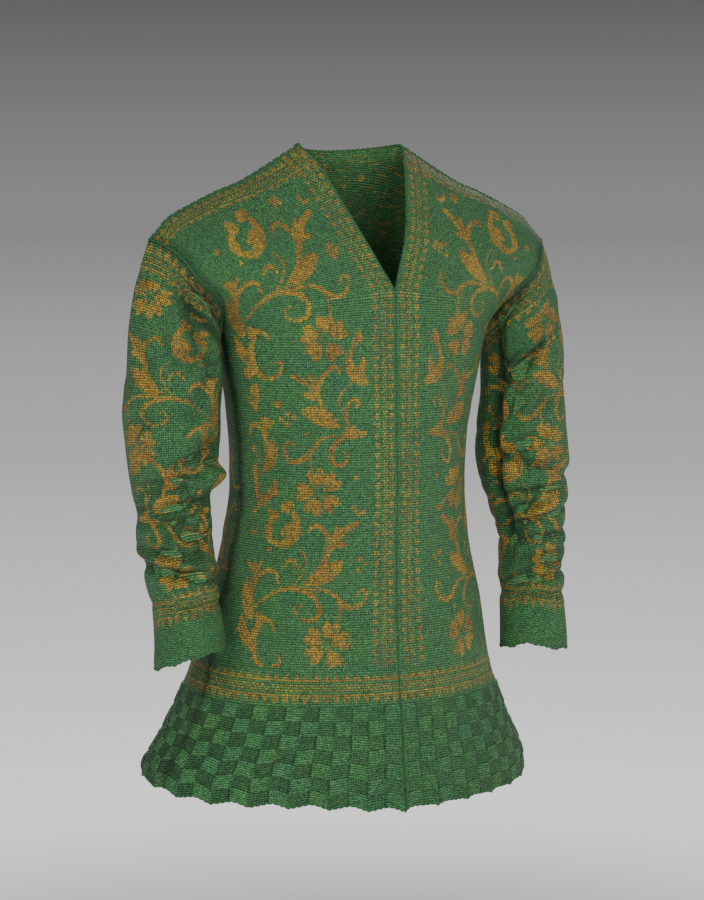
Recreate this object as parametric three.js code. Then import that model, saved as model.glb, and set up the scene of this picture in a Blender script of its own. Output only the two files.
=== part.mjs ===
// A knitted jacket, hollow and open, in the form it has when it is worn: two fronts, a back and two
// sleeves. Millimetres, +Z up. The fronts face -Y and +X is the wearer's left. The origin lies
// midway between the two neck points, where the wearer's shoulders carry the jacket.
import * as THREE from 'three';

// ---- driving sizes ----

const wallThickness = 2.4;     // the knitted cloth
const seamGap = 0.3;           // between two pieces at a seam
const frontGap = 0.5;          // between the two front edges, which meet edge to edge
const armpitHeight = -182;
const sleeveHeadHeight = -225; // below this level a sleeve is a plain tube
const skirtShare = 0.16;       // share of a panel's length, up to the armpit and beyond, that is skirt
const armpitShare = 0.72;      // the armpit level, as a share of a panel's length
const frontBlocks = 13;        // basketweave blocks across one front
const backBlocks = 17;         // and across one half of the back
const blockRows = 7;           // rows of blocks in the skirt
const blockRelief = 0.9;       // a raised block stands this proud of the wall
const blockMargin = 0.15;      // share of a block taken by the slope at each of its edges
const scallopDepth = 3.6;      // the hem's scallops, one for every two blocks
const cuffScallops = 9;        // around one cuff
const cuffScallopDepth = 2.2;
const armShare = 0.66;         // of a sleeve's length, from the cuff's edge to the sleeve head
const sideTurn = 80;           // the side seam's place in the hem's table, degrees from centre front
const halfWidth = 190;         // of a panel, from its centre line to its side seam, on average
const sleeveHead = {           // how the cloth leaves the armhole seam
  outUnderArm: 0.1,            // its lean away from the body, for each length that it falls
  outAtTop: 0.38,
  fallAtTop: 0.92,
  reach: 0.36,                 // how far the lean is felt, as a share of the sleeve head's length
  gapDown: 1.6,                // clear of the panels by these shares of a seam's gap
  gapOut: 1.8,
  foldHalf: 46,                // half width that the folds' lengths are measured on there
};
const underArmTurn = [60, 110]; // from the armpit up, where the two walls turn to meet end to end

// How many strips each wall is made of, across and along.
const grid = {
  frontOuter: 13,
  frontInner: 9,
  backOuter: [5, 9],           // under the back neck, and under the shoulder seam
  backInner: [3, 6],
  bodyOuter: 25,               // from the skirt's top to the shoulder
  bodyInner: 20,               // from the hem to the shoulder
  sleeveAround: 28,
  sleeveInnerAround: 20,
  sleeveOuter: [30, 10],       // of the arm's tube, and of the sleeve head
  sleeveInner: [15, 6],
};
const lookStep = 0.005;        // share of a panel between the places that give a direction
const degree = Math.PI / 180;

// ---- short tables with named columns ----

// Turns rows of numbers into rows with named columns. The first column is the one that is looked up.
function table(names, rows) {
  const columns = names.split(' ');
  return rows.map((row) => Object.fromEntries(columns.map((name, i) => [name, row[i]])));
}

// The slope of one column at one row, from the rows on either side of it.
function slopeAt(rows, key, column, i) {
  const before = rows[Math.max(i - 1, 0)];
  const after = rows[Math.min(i + 1, rows.length - 1)];
  return (after[column] - before[column]) / (after[key] - before[key]);
}

// Reads every column of a table at one value of its first column, as smooth curves through the rows.
function readTable(rows, value) {
  const [key, ...columns] = Object.keys(rows[0]);
  const last = rows.length - 1;
  const at = Math.min(Math.max(value, rows[0][key]), rows[last][key]);
  let i = 0;
  while (i < last - 1 && at > rows[i + 1][key]) i += 1;
  const low = rows[i];
  const high = rows[i + 1];
  const span = high[key] - low[key];
  const t = (at - low[key]) / span;
  const result = {};
  for (const column of columns) {
    const leave = slopeAt(rows, key, column, i) * span;
    const arrive = slopeAt(rows, key, column, i + 1) * span;
    const rise = high[column] - low[column];
    result[column] = low[column] + t * leave
      + t * t * (3 * rise - 2 * leave - arrive) + t * t * t * (leave + arrive - 2 * rise);
  }
  return result;
}

// The body below the arms is an oval at each height: half its width, half its depth, where its
// middle lies, and how far round from the centre front the side seam is, in degrees.
const bodyOvals = table('z wide deep middle seamTurn', [
  [-655, 209, 149.5, 37, 78.5],
  [-618, 203, 146, 35, 79],
  [-590, 187, 141, 30, 79.5],
  [-545, 166, 133, 24, 80],
  [-510, 154, 128, 21, 82],
  [-450, 142, 119, 15, 84],
  [-400, 129, 113, 11, 86],
  [-345, 120.5, 110, 8, 86.5],
  [-300, 122.5, 106, 6, 86.5],
  [-255, 129, 102, 3, 86],
  [-220, 137, 99, 1, 85.5],
  [-182, 146, 97, -1, 84.7],
]);

// Heights of the hem and of the skirt's top, by how far round from the centre front, in degrees.
const hemHeights = table('turn right left skirtTop', [
  [0, -652, -650, -545],
  [30, -643, -648, -545],
  [60, -640, -645, -544],
  [80, -635, -641, -542],
  [110, -624, -631, -538],
  [140, -619, -624, -535],
  [180, -622, -622, -534],
]);

// The centre front line wanders a little to one side and the other.
const centreLine = table('z shift', [
  [-650, 4], [-600, 1.5], [-545, -1], [-483, -2], [-400, -1.5], [-300, 0], [-142, 0],
]);

// The four edges of a panel's upper part, on the wearer's left, from the armpit level up.
const neckEdge = table('along x y z', [
  [0, 0, -98, -182], [0.15, 0, -96, -150], [0.18, 0, -95.5, -142], [0.29, 9, -87, -121],
  [0.44, 22, -75, -92], [0.63, 35, -53, -57], [0.86, 48.5, -24, -17], [1, 57, 0, 0],
]);
const centreBack = table('along x y z', [
  [0, 0, 96, -182], [0.22, 0, 97, -142], [0.45, 0, 92, -100], [0.7, 0, 80, -55],
  [0.885, 0, 66, -24], [1, 0, 55, -6],
]);
const frontArmhole = table('along x y z', [
  [0, 145, -10, -182], [0.26, 158, -36, -156], [0.41, 172, -45, -141], [0.54, 187, -46, -127],
  [0.71, 200, -36, -108], [0.9, 212, -14, -95], [1, 217, 0, -92],
]);
const backArmhole = table('along x y z', [
  [0, 145, -10, -182], [0.22, 155, 14, -160], [0.42, 170, 34, -142], [0.585, 186, 41, -124],
  [0.73, 199, 34, -108], [0.89, 211, 15, -96], [1, 217, 0, -92],
]);
const shoulderSeam = table('along x z', [
  [0, 57, 0], [0.39, 120, -36], [0.54, 146, -46], [0.694, 172, -58], [0.853, 198, -72],
  [0.95, 210, -85], [1, 217, -92],
]);
const backNeck = table('along x y z', [
  [0, 0, 55, -6], [0.26, 22, 51, -5], [0.54, 42, 36, -3], [0.81, 54, 16, -1], [1, 57, 0, 0],
]);
const backNeckShare = 0.32;    // of half the back's upper edge; the shoulder seam has the rest
const nearShoulder = 0.9;      // above this share of a panel's length the shoulder seam is close

// A sleeve's middle line and half width at each height, on the wearer's left.
const sleeveOvals = table('z x y halfRight halfLeft', [
  [-520, 192, -39, 36.5, 34.5],
  [-500, 192.3, -37, 35.5, 34],
  [-450, 193.3, -31, 33.3, 33.2],
  [-425, 196, -26, 35, 34.2],
  [-400, 198.6, -20, 37, 34.7],
  [-375, 199, -13, 37.2, 38.5],
  [-350, 198, -8, 37.8, 44.5],
  [-325, 197.5, -5, 41, 48],
  [-300, 196.2, -3, 45, 47.5],
  [-270, 196.6, -4, 47.6, 45],
  [-250, 196.5, -5, 47.8, 43],
  [-200, 192, -9, 46, 41.5],
]);
const sleeveDepth = 1.04;      // a sleeve's depth for its width
const cuffs = {                // height of a cuff's edge, how much it tilts, and the way it rises
  right: { height: -498, tilt: 11, rises: 130 },
  left: { height: -513, tilt: 2.5, rises: 130 },
};

// Folds of a sleeve, each as its middle (height, and turn round the sleeve from its outer side by
// the front, in degrees), its lean from level, half its length, its width and its height: below
// zero is a trough and above zero a ridge.
const rightSleeveFolds = table('z turn lean length width height', [
  [-126, 92, -28, 34, 6, -3.5], [-140, 92, -32, 34, 6, 2.5], [-147, 92, -30, 36, 6, -3],
  [-180, 91, -58, 42, 7, -5.5], [-176, 112, -58, 34, 8, 3.5], [-203, 84, -52, 20, 7, -2.5],
  [-212, 25, -73, 30, 8, -2], [-259, 84, -10, 14, 7, -2], [-291, 124, -8, 18, 7, -4.5],
  [-268, 26, 0, 18, 8, -2.5], [-311, 77, 27, 14, 6, 2], [-317, 152, -10, 20, 8, 9],
  [-333, 85, -45, 16, 6, -3], [-349, 68, 0, 14, 7, -2.5], [-353, 126, 32, 20, 7, -5],
  [-372, 84, -14, 18, 6, -4.5], [-380, 92, 25, 14, 5, -2.5], [-387, 118, 40, 20, 6, -3.5],
  [-400, 62, -10, 44, 6, 2.6], [-410, 58, -9, 54, 5.5, -4.5], [-453, 85, 8, 12, 6, -1.2],
  [-345, 235, -18, 22, 7, -4], [-372, 262, 22, 26, 7, -4.5], [-318, 280, -25, 24, 8, -3],
  [-392, 225, -30, 22, 6, -3.5], [-412, 300, 8, 30, 6, -3], [-262, 240, -40, 26, 8, -3],
  [-215, 235, 48, 32, 8, -3.5], [-360, 330, 15, 20, 8, -2],
]);
const leftSleeveFolds = table('z turn lean length width height', [
  [-141, 117, -42, 34, 6, -3.5], [-150, 120, -42, 34, 6, 2.5], [-160, 122, -42, 38, 6, -3.5],
  [-222, 120, -45, 38, 6, -5.5], [-219, 131, -45, 24, 5, 2.5], [-221, 142, -45, 18, 6, -3.5],
  [-258, 128, -78, 42, 6, -2.5], [-260, 92, -45, 18, 7, -2.5], [-307, 127, -26, 30, 7, -5.5],
  [-240, 166, -88, 58, 6, -3.5], [-338, 160, -84, 50, 6, -4], [-402, 159, -86, 26, 5, -3],
  [-331, 100, 0, 16, 6, 2], [-369, 126, -21, 28, 6, -5.5], [-380, 118, -21, 24, 6, 2.5],
  [-391, 139, -41, 17, 6, -4.5], [-418, 106, -20, 30, 6, 2.4], [-431, 125, -31, 24, 5.5, -4.5],
  [-422, 66, 4, 30, 5.5, -3.8], [-335, 30, 0, 18, 6, -3.5], [-430, 30, 3, 18, 5, -2.2],
  [-350, 238, 20, 24, 7, -4], [-377, 265, -18, 26, 7, -4.5], [-322, 290, 24, 24, 8, -3],
  [-396, 222, 32, 22, 6, -3.5], [-420, 300, -6, 30, 6, -3], [-268, 245, 38, 26, 8, -3],
  [-218, 238, -46, 32, 8, -3.5], [-365, 335, -12, 20, 8, -2],
]);

// ---- the panels as surfaces ----

// One height's oval from the centre front (or back) to the side seam, even in length along it.
function ovalPoint(z, along, fromBack) {
  const oval = readTable(bodyOvals, z);
  const start = fromBack ? Math.PI / 2 : -Math.PI / 2;
  const seam = -Math.PI / 2 + oval.seamTurn * degree;
  const curve = new THREE.EllipseCurve(0, oval.middle, oval.wide, oval.deep, start, seam, fromBack);
  const point = curve.getPointAt(along);
  return new THREE.Vector3(point.x, point.y, z);
}

// Heights of the hem and the skirt's top for a place on a panel.
function edgeHeights(side, along, fromBack) {
  const turn = fromBack ? 180 - along * (180 - sideTurn) : along * sideTurn;
  const row = readTable(hemHeights, turn);
  const blocks = fromBack ? backBlocks : frontBlocks;
  const arch = Math.abs(Math.sin(along * blocks * Math.PI / 2));
  return { hem: (side > 0 ? row.left : row.right) + scallopDepth * arch, top: row.skirtTop };
}

function readPoint(rows, along) {
  const { x, y, z } = readTable(rows, along);
  return new THREE.Vector3(x, y, z);
}

// The upper edge of a front is the shoulder seam; that of the back also has half the back neck.
function upperEdge(along, fromBack) {
  if (fromBack && along < backNeckShare) {
    const point = readPoint(backNeck, along / backNeckShare);
    point.y = Math.max(point.y, seamGap / 2);
    return point;
  }
  const share = fromBack ? (along - backNeckShare) / (1 - backNeckShare) : along;
  const seam = readTable(shoulderSeam, share);
  return new THREE.Vector3(seam.x, (fromBack ? 1 : -1) * seamGap / 2, seam.z);
}

// The upper edge as it is felt further down, where its corner at the neck point is rounded off: the
// mean of places on both sides of this one, as far away as spread.
function softEdge(along, spread, fromBack) {
  const reach = Math.min(spread, 1 - along);
  const mean = new THREE.Vector3();
  for (const share of [-1, -0.5, 0, 0.5, 1]) {
    const at = along + share * reach;
    const point = upperEdge(Math.abs(at), fromBack);
    if (at < 0) point.x *= -1;
    mean.addScaledVector(point, 0.2);
  }
  return mean;
}

// How a panel's upper part goes over from its lower to its upper edge, on each axis, how near to the
// armhole the armhole's shape is felt, and how soft the upper edge's corners are further down. The
// back rounds over to the neck and shoulders late.
const upperEase = {
  front: { x: 1.1, y: 1.1, z: 1.1, side: 1.7, spread: 0 },
  back: { x: 1.3, y: 3.4, z: 0.8, side: 2.4, spread: 2 },
};

// Above the armpit a panel fills the space between its four edges (a Coons patch).
function upperPoint(along, up, fromBack) {
  const ease = upperEase[fromBack ? 'back' : 'front'];
  const centreRows = fromBack ? centreBack : neckEdge;
  const armholeRows = fromBack ? backArmhole : frontArmhole;
  const spread = ease.spread * (1 - up) ** 1.5;
  const lower = ovalPoint(armpitHeight, along, fromBack);
  const upper = softEdge(along, spread, fromBack);
  const middle = softEdge(0, spread, fromBack);
  const centre = [readPoint(centreRows, 0), readPoint(centreRows, up), middle];
  const armhole = [readPoint(armholeRows, 0), readPoint(armholeRows, up), upperEdge(1, fromBack)];
  const side = along ** ease.side;
  const point = new THREE.Vector3();
  for (const axis of ['x', 'y', 'z']) {
    const high = up ** ease[axis];
    const bulge = ([low, now, top]) => now[axis] - THREE.MathUtils.lerp(low[axis], top[axis], high);
    point[axis] = THREE.MathUtils.lerp(lower[axis], upper[axis], high)
      + (1 - side) * bulge(centre) + side * bulge(armhole);
  }
  return point;
}

// A point of a panel: along runs from its centre edge to its side edge, up from the hem to the top.
function panelPoint(side, along, up, fromBack) {
  let point;
  if (up < armpitShare) {
    const { hem, top } = edgeHeights(side, along, fromBack);
    const z = up < skirtShare
      ? THREE.MathUtils.lerp(hem, top, up / skirtShare)
      : THREE.MathUtils.lerp(top, armpitHeight, (up - skirtShare) / (armpitShare - skirtShare));
    point = ovalPoint(z, along, fromBack);
  } else {
    point = upperPoint(along, (up - armpitShare) / (1 - armpitShare), fromBack);
  }
  if (!fromBack) point.x = Math.max(point.x, frontGap / 2);
  point.x *= side;
  if (!fromBack) point.x += readTable(centreLine, point.z).shift * (1 - along) ** 2;
  return point;
}

// Keeps a point on its own panel's side of the shoulder seam.
function keepToSeam(point, up, fromBack) {
  if (up < nearShoulder) return point;
  const edge = seamGap / 2;
  point.y = fromBack ? Math.max(point.y, edge) : Math.min(point.y, -edge);
  return point;
}

// The direction out of the cloth at a place of a surface given as a function of two numbers. At a
// panel's upper edge it has no Y, so that the two walls of a shoulder seam stand face to face.
function outward(surface, a, b, sign) {
  const across = surface(Math.min(a + lookStep, 1), b).sub(surface(Math.max(a - lookStep, 0), b));
  const upward = surface(a, Math.min(b + lookStep, 1)).sub(surface(a, Math.max(b - lookStep, 0)));
  return across.cross(upward).normalize().multiplyScalar(sign);
}

function panelOutward(side, along, up, fromBack) {
  const surface = (a, b) => panelPoint(side, a, b, fromBack);
  const direction = outward(surface, along, up, side * (fromBack ? -1 : 1));
  const onShoulder = up === 1 && !(fromBack && along < backNeckShare);
  if (onShoulder) direction.y = 0;
  return direction.normalize();
}

// ---- the sleeves as surfaces ----

// The armhole, once round from its top by the front, the armpit and the back. turn is in degrees.
function armholePoint(turn) {
  const rows = turn <= 180 ? frontArmhole : backArmhole;
  return readPoint(rows, Math.abs(180 - turn) / 180);
}

// How far the folds lift or sink the cloth at a place on a sleeve.
function foldHeight(folds, turn, z, half) {
  let height = 0;
  for (const fold of folds) {
    const apart = ((turn - fold.turn + 540) % 360) - 180;
    const level = apart * degree * half;
    const rise = z - fold.z;
    const lean = fold.lean * degree;
    const lengthwise = (level * Math.cos(lean) + rise * Math.sin(lean)) / fold.length;
    const crosswise = (rise * Math.cos(lean) - level * Math.sin(lean)) / fold.width;
    height += fold.height * Math.exp(-(lengthwise ** 2) - crosswise ** 2);
  }
  return height;
}

// The tube below the sleeve head, with its folds.
function armPoint(side, turn, z) {
  const oval = readTable(sleeveOvals, z);
  const half = side > 0 ? oval.halfLeft : oval.halfRight;
  const folds = side > 0 ? leftSleeveFolds : rightSleeveFolds;
  const radius = half + foldHeight(folds, turn, z, half);
  const angle = turn * degree;
  const x = oval.x + radius * Math.cos(angle);
  return new THREE.Vector3(x, oval.y - radius * sleeveDepth * Math.sin(angle), z);
}

// The sleeve head runs from the tube up to the armhole, for each turn along a curve that starts
// upright and ends as the cloth leaves the seam.
function headPoint(side, turn, up) {
  const foot = armPoint(side, turn, sleeveHeadHeight);
  const seam = armholePoint(turn);
  const top = (1 + Math.cos(turn * degree)) / 2;
  const out = THREE.MathUtils.lerp(sleeveHead.outUnderArm, sleeveHead.outAtTop, top);
  const fall = THREE.MathUtils.lerp(1, sleeveHead.fallAtTop, top);
  const leaving = new THREE.Vector3(out, 0, -fall).normalize();
  seam.addScaledVector(leaving, seamGap * sleeveHead.gapDown);
  seam.x += seamGap * sleeveHead.gapOut;
  const reach = foot.distanceTo(seam) * sleeveHead.reach;
  const curve = new THREE.CubicBezierCurve3(
    foot, foot.clone().setZ(foot.z + reach), seam.clone().addScaledVector(leaving, reach), seam);
  const point = curve.getPoint(up);
  const folds = side > 0 ? leftSleeveFolds : rightSleeveFolds;
  const nearSeam = Math.sin(Math.min(1, 3 * (1 - up)) * Math.PI / 2);
  const nearArm = Math.min(1, 2.5 * up);
  const lift = foldHeight(folds, turn, point.z, sleeveHead.foldHalf) * nearSeam * nearArm;
  point.x += lift * Math.cos(turn * degree);
  point.y -= lift * Math.sin(turn * degree);
  return point;
}

function cuffHeight(side, turn) {
  const cuff = side > 0 ? cuffs.left : cuffs.right;
  const arch = Math.abs(Math.sin(turn * degree * cuffScallops / 2));
  return cuff.height + cuff.tilt * Math.cos((turn - cuff.rises) * degree) + cuffScallopDepth * arch;
}

// A share of a turn as degrees from 0 to 360.
const wholeTurn = (around) => (((around % 1) + 1) % 1) * 360;

function sleevePoint(side, around, up) {
  const turn = wholeTurn(around);
  let point;
  if (up <= armShare) {
    const edge = cuffHeight(side, turn);
    point = armPoint(side, turn, THREE.MathUtils.lerp(edge, sleeveHeadHeight, up / armShare));
  } else {
    point = headPoint(side, turn, (up - armShare) / (1 - armShare));
  }
  point.x *= side;
  return point;
}

// The direction out of the sleeve's cloth. At the armhole it is the panel's own direction where
// the two walls meet end to end, and it turns to the sleeve's own under the arm.
function sleeveOutward(side, around, up) {
  const ahead = sleevePoint(side, around + lookStep, up);
  const across = ahead.sub(sleevePoint(side, around - lookStep, up));
  const above = sleevePoint(side, around, Math.min(up + lookStep, 1));
  const upward = above.sub(sleevePoint(side, around, Math.max(up - lookStep, 0)));
  const own = across.cross(upward).normalize().multiplyScalar(-side);
  if (up < 1) return own;
  const turn = wholeTurn(around);
  const fromArmpit = Math.abs(180 - turn);
  const seamUp = THREE.MathUtils.lerp(armpitShare, 1, fromArmpit / 180);
  const onPanel = panelOutward(side, 1, seamUp, turn > 180);
  return own.lerp(onPanel, THREE.MathUtils.smoothstep(fromArmpit, ...underArmTurn)).normalize();
}

// ---- walls ----

// Joins two edges, which may have different numbers of points, by a strip of triangles.
function joinEdges(faces, lower, upper) {
  let i = 0;
  let j = 0;
  while (i < lower.length - 1 || j < upper.length - 1) {
    const lowerNext = i < lower.length - 1 ? lower[i + 1].at : Infinity;
    const upperNext = j < upper.length - 1 ? upper[j + 1].at : Infinity;
    if (lowerNext <= upperNext) {
      faces.push([lower[i].id, lower[i + 1].id, upper[j].id]);
      i += 1;
    } else {
      faces.push([lower[i].id, upper[j + 1].id, upper[j].id]);
      j += 1;
    }
  }
}

// A closed wall between an outer and an inner grid of rows. Each row is a list of { at, point } from
// one side to the other, and has its own height. A tube's rows close on themselves.
function wallGeometry(outerRows, innerRows, isTube, turnOver) {
  const positions = [];
  const faces = [];
  const number = (rows) => rows.map(({ height, points }) => {
    const row = points.map(({ at, point }) => {
      positions.push(point.x, point.y, point.z);
      return { at, id: positions.length / 3 - 1, height };
    });
    if (isTube) row.push({ at: 1, id: row[0].id, height });
    return row;
  });
  const outer = number(outerRows);
  const inner = number(innerRows);
  for (let r = 0; r < outer.length - 1; r += 1) joinEdges(faces, outer[r], outer[r + 1]);
  for (let r = 0; r < inner.length - 1; r += 1) joinEdges(faces, inner[r + 1], inner[r]);
  joinEdges(faces, inner[0], outer[0]);
  joinEdges(faces, outer[outer.length - 1], inner[inner.length - 1]);
  if (!isTube) {
    const column = (rows, pick) => rows.map((row) => ({ id: pick(row).id, at: row[0].height }));
    const first = (row) => row[0];
    const last = (row) => row[row.length - 1];
    joinEdges(faces, column(outer, first), column(inner, first));
    joinEdges(faces, column(inner, last), column(outer, last));
  }
  if (turnOver) faces.forEach((face) => face.reverse());
  const geometry = new THREE.BufferGeometry();
  geometry.setAttribute('position', new THREE.Float32BufferAttribute(positions, 3));
  geometry.setIndex(faces.flat());
  geometry.computeVertexNormals();
  return geometry;
}

// Even steps from start to end, both included.
function steps(start, end, count) {
  return Array.from({ length: count + 1 }, (_, i) => start + (end - start) * i / count);
}

// Two lines for each block, just inside its edges, so that the block has a flat top.
function blockLines(blocks) {
  const lines = [];
  for (let block = 0; block < blocks; block += 1) {
    lines.push((block + blockMargin) / blocks, (block + 1 - blockMargin) / blocks);
  }
  return lines;
}

// The basketweave: every other block of the skirt is raised.
function blockHeight(along, up, blocks) {
  if (up <= 0 || up >= skirtShare) return 0;
  const column = Math.min(Math.floor(along * blocks), blocks - 1);
  const row = Math.min(Math.floor(up / skirtShare * blockRows), blockRows - 1);
  return (column + row) % 2 === 0 ? blockRelief : 0;
}

// The rows of one panel. columns gives the places across it, which are signed for the whole back.
function panelRows(columns, heights, blocks, fromBack, frontSide, depth) {
  return heights.map((up) => ({
    height: up,
    points: columns(up).map((column) => {
      const side = frontSide ?? (column < 0 ? -1 : 1);
      const along = Math.abs(column) * (1 - seamGap / 2 / halfWidth);
      const point = panelPoint(side, along, up, fromBack);
      const lift = depth === 0 ? blockHeight(along, up, blocks) : -depth;
      point.addScaledVector(panelOutward(side, along, up, fromBack), lift);
      return { at: column, point: keepToSeam(point, up, fromBack) };
    }),
  }));
}

const skirtHeights = [0, ...blockLines(blockRows).map((share) => share * skirtShare), skirtShare];
const bodyHeights = steps(skirtShare, 1, grid.bodyOuter).slice(1);
const outerHeights = [...skirtHeights, ...bodyHeights];
const innerHeights = steps(0, 1, grid.bodyInner);

function frontGeometry(side) {
  const fine = [0, ...blockLines(frontBlocks), 1];
  const body = steps(0, 1, grid.frontOuter);
  const outerColumns = (up) => (up < skirtShare ? fine : body);
  const innerColumns = () => steps(0, 1, grid.frontInner);
  const outer = panelRows(outerColumns, outerHeights, frontBlocks, false, side, 0);
  const inner = panelRows(innerColumns, innerHeights, frontBlocks, false, side, wallThickness);
  return wallGeometry(outer, inner, false, side < 0);
}

// Even steps from 0 to share and from there to 1.
function twoSteps(share, [first, second]) {
  return [...steps(0, share, first), ...steps(share, 1, second).slice(1)];
}

// The columns of the back's two halves, the right one's with a minus sign.
function bothHalves(half) {
  return [...half.slice(1).map((share) => -share).reverse(), ...half];
}

function backGeometry() {
  const fine = bothHalves([0, ...blockLines(backBlocks), 1]);
  const body = bothHalves(twoSteps(backNeckShare, grid.backOuter));
  const innerBody = bothHalves(twoSteps(backNeckShare, grid.backInner));
  const outerColumns = (up) => (up < skirtShare ? fine : body);
  const outer = panelRows(outerColumns, outerHeights, backBlocks, true, null, 0);
  const inner = panelRows(() => innerBody, innerHeights, backBlocks, true, null, wallThickness);
  return wallGeometry(outer, inner, false, true);
}

function sleeveGeometry(side) {
  const rows = (heights, count, depth) => heights.map((up) => ({
    height: up,
    points: steps(0, 1, count).slice(0, -1).map((at) => {
      const point = sleevePoint(side, at, up);
      return { at, point: point.addScaledVector(sleeveOutward(side, at, up), -depth) };
    }),
  }));
  const outer = rows(twoSteps(armShare, grid.sleeveOuter), grid.sleeveAround, 0);
  const inner = rows(twoSteps(armShare, grid.sleeveInner), grid.sleeveInnerAround, wallThickness);
  return wallGeometry(outer, inner, true, side > 0);
}

// ---- the jacket ----

const greenSilk = { color: 0x2f6b45, roughness: 0.75, metalness: 0 };
const jacket = new THREE.Group();

function addPiece(name, geometry) {
  const mesh = new THREE.Mesh(geometry, new THREE.MeshStandardMaterial(greenSilk));
  mesh.name = name;
  jacket.add(mesh);
}

addPiece('front_right', frontGeometry(-1));
addPiece('front_left', frontGeometry(1));
addPiece('back', backGeometry());
addPiece('sleeve_right', sleeveGeometry(-1));
addPiece('sleeve_left', sleeveGeometry(1));

export default jacket;
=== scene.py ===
import math
from functools import partial

import bpy
import numpy as np
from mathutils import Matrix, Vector


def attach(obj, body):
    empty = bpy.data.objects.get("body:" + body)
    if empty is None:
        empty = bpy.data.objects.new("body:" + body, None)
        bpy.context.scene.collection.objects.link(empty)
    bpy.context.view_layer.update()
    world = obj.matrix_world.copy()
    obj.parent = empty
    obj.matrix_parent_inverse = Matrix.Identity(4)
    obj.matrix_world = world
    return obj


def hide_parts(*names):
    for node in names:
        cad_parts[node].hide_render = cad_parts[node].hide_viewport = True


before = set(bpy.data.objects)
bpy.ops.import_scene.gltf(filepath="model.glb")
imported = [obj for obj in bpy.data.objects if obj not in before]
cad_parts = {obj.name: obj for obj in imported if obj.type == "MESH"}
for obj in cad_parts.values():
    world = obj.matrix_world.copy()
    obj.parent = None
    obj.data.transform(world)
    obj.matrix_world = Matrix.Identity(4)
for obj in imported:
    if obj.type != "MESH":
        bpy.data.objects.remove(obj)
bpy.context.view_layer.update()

# A hand-knitted silk jacket in the form it has when worn: two fronts, a back and two sleeves, each a
# wall of stitches with gold yarn flowers, striped bands and a basketweave skirt.
# All lengths in this script are millimetres; mesh points are turned to metres as they are written.
mm = 0.001

cloth = {
    "wall": 2.4,             # thickness of the knitting
    "stitchRow": 2.4,        # height of one row; real ones are near 1.6, too fine to show from here
    "seamGap": 0.1,
    "frontGap": 0.6,         # between the two front edges, which meet edge to edge
    "innerStep": 6,          # the plain inside has one grid line for so many of the outside's,
    "tubeStep": 8,           # and so many round a sleeve
}

panelForm = {
    "armpit": -182,          # height of the armpit level
    "skirtShare": 0.16,      # shares of a panel's length, from the hem up
    "armpitShare": 0.72,
    "sideTurn": 80,          # where the hem's table has the side seam, degrees from centre front
    "backNeckShare": 0.32,   # of half the back's upper edge
    "frontEase": (1.1, 1.1, 1.1), "frontSide": 1.7, "frontSpread": 0,
    "backEase": (1.3, 3.4, 0.8), "backSide": 2.4, "backSpread": 2,
    "bodyRows": 152, "upperRows": 84,
}

skirt = {
    "frontBlocks": 13, "backBlocks": 17, "blockRows": 7,
    "stitchesAcross": 8, "rowsInBlock": 6,
    "relief": 1.6,           # a purl block stands this proud of its knit neighbours
    "steep": 4.5,            # how steeply a block's sides rise
    "ridge": 0.42,           # each purl row stands this proud inside a block
    "scallop": 3.6,          # the hem's scallops, one for every two blocks
    "scallopDrift": 0.3, "scallopWaves": 41,   # how much, and how fast, their depth varies
}


# Rows of numbers as a smooth curve for every column after the first, which is the one looked up.
def curveTable(rows):
    values = np.array(rows, float)
    row = np.arange(len(values))
    before, after = np.maximum(row - 1, 0), np.minimum(row + 1, len(values) - 1)
    keys, columns = values[:, 0], values[:, 1:]
    slopes = (columns[after] - columns[before]) / (keys[after] - keys[before])[:, None]
    return keys, columns, slopes


def readTable(table, value):
    keys, columns, slopes = table
    at = np.clip(np.asarray(value, float), keys[0], keys[-1])
    i = np.clip(np.searchsorted(keys, at, side="left") - 1, 0, len(keys) - 2)
    span = (keys[i + 1] - keys[i])[..., None]
    t = (at - keys[i])[..., None] / span
    leave, arrive = slopes[i] * span, slopes[i + 1] * span
    rise = columns[i + 1] - columns[i]
    curve = columns[i] + t * leave
    curve = curve + t**2 * (3 * rise - 2 * leave - arrive) + t**3 * (leave + arrive - 2 * rise)
    return np.moveaxis(curve, -1, 0)


# z, half width, half depth, middle, turn of the side seam from centre front in degrees
bodyOvals = curveTable([
    (-655, 209, 149.5, 37, 78.5), (-618, 203, 146, 35, 79), (-590, 187, 141, 30, 79.5),
    (-545, 166, 133, 24, 80), (-510, 154, 128, 21, 82), (-450, 142, 119, 15, 84),
    (-400, 129, 113, 11, 86), (-345, 120.5, 110, 8, 86.5), (-300, 122.5, 106, 6, 86.5),
    (-255, 129, 102, 3, 86), (-220, 137, 99, 1, 85.5), (-182, 146, 97, -1, 84.7),
])
# turn from centre front, hem height on the right, on the left, height of the skirt's top
hemHeights = curveTable([
    (0, -652, -650, -545), (30, -643, -648, -545), (60, -640, -645, -544), (80, -635, -641, -542),
    (110, -624, -631, -538), (140, -619, -624, -535), (180, -622, -622, -534),
])
# z, how far the centre front line wanders sideways
centreLine = curveTable([
    (-650, 4), (-600, 1.5), (-545, -1), (-483, -2), (-400, -1.5), (-300, 0), (-142, 0),
])
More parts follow.
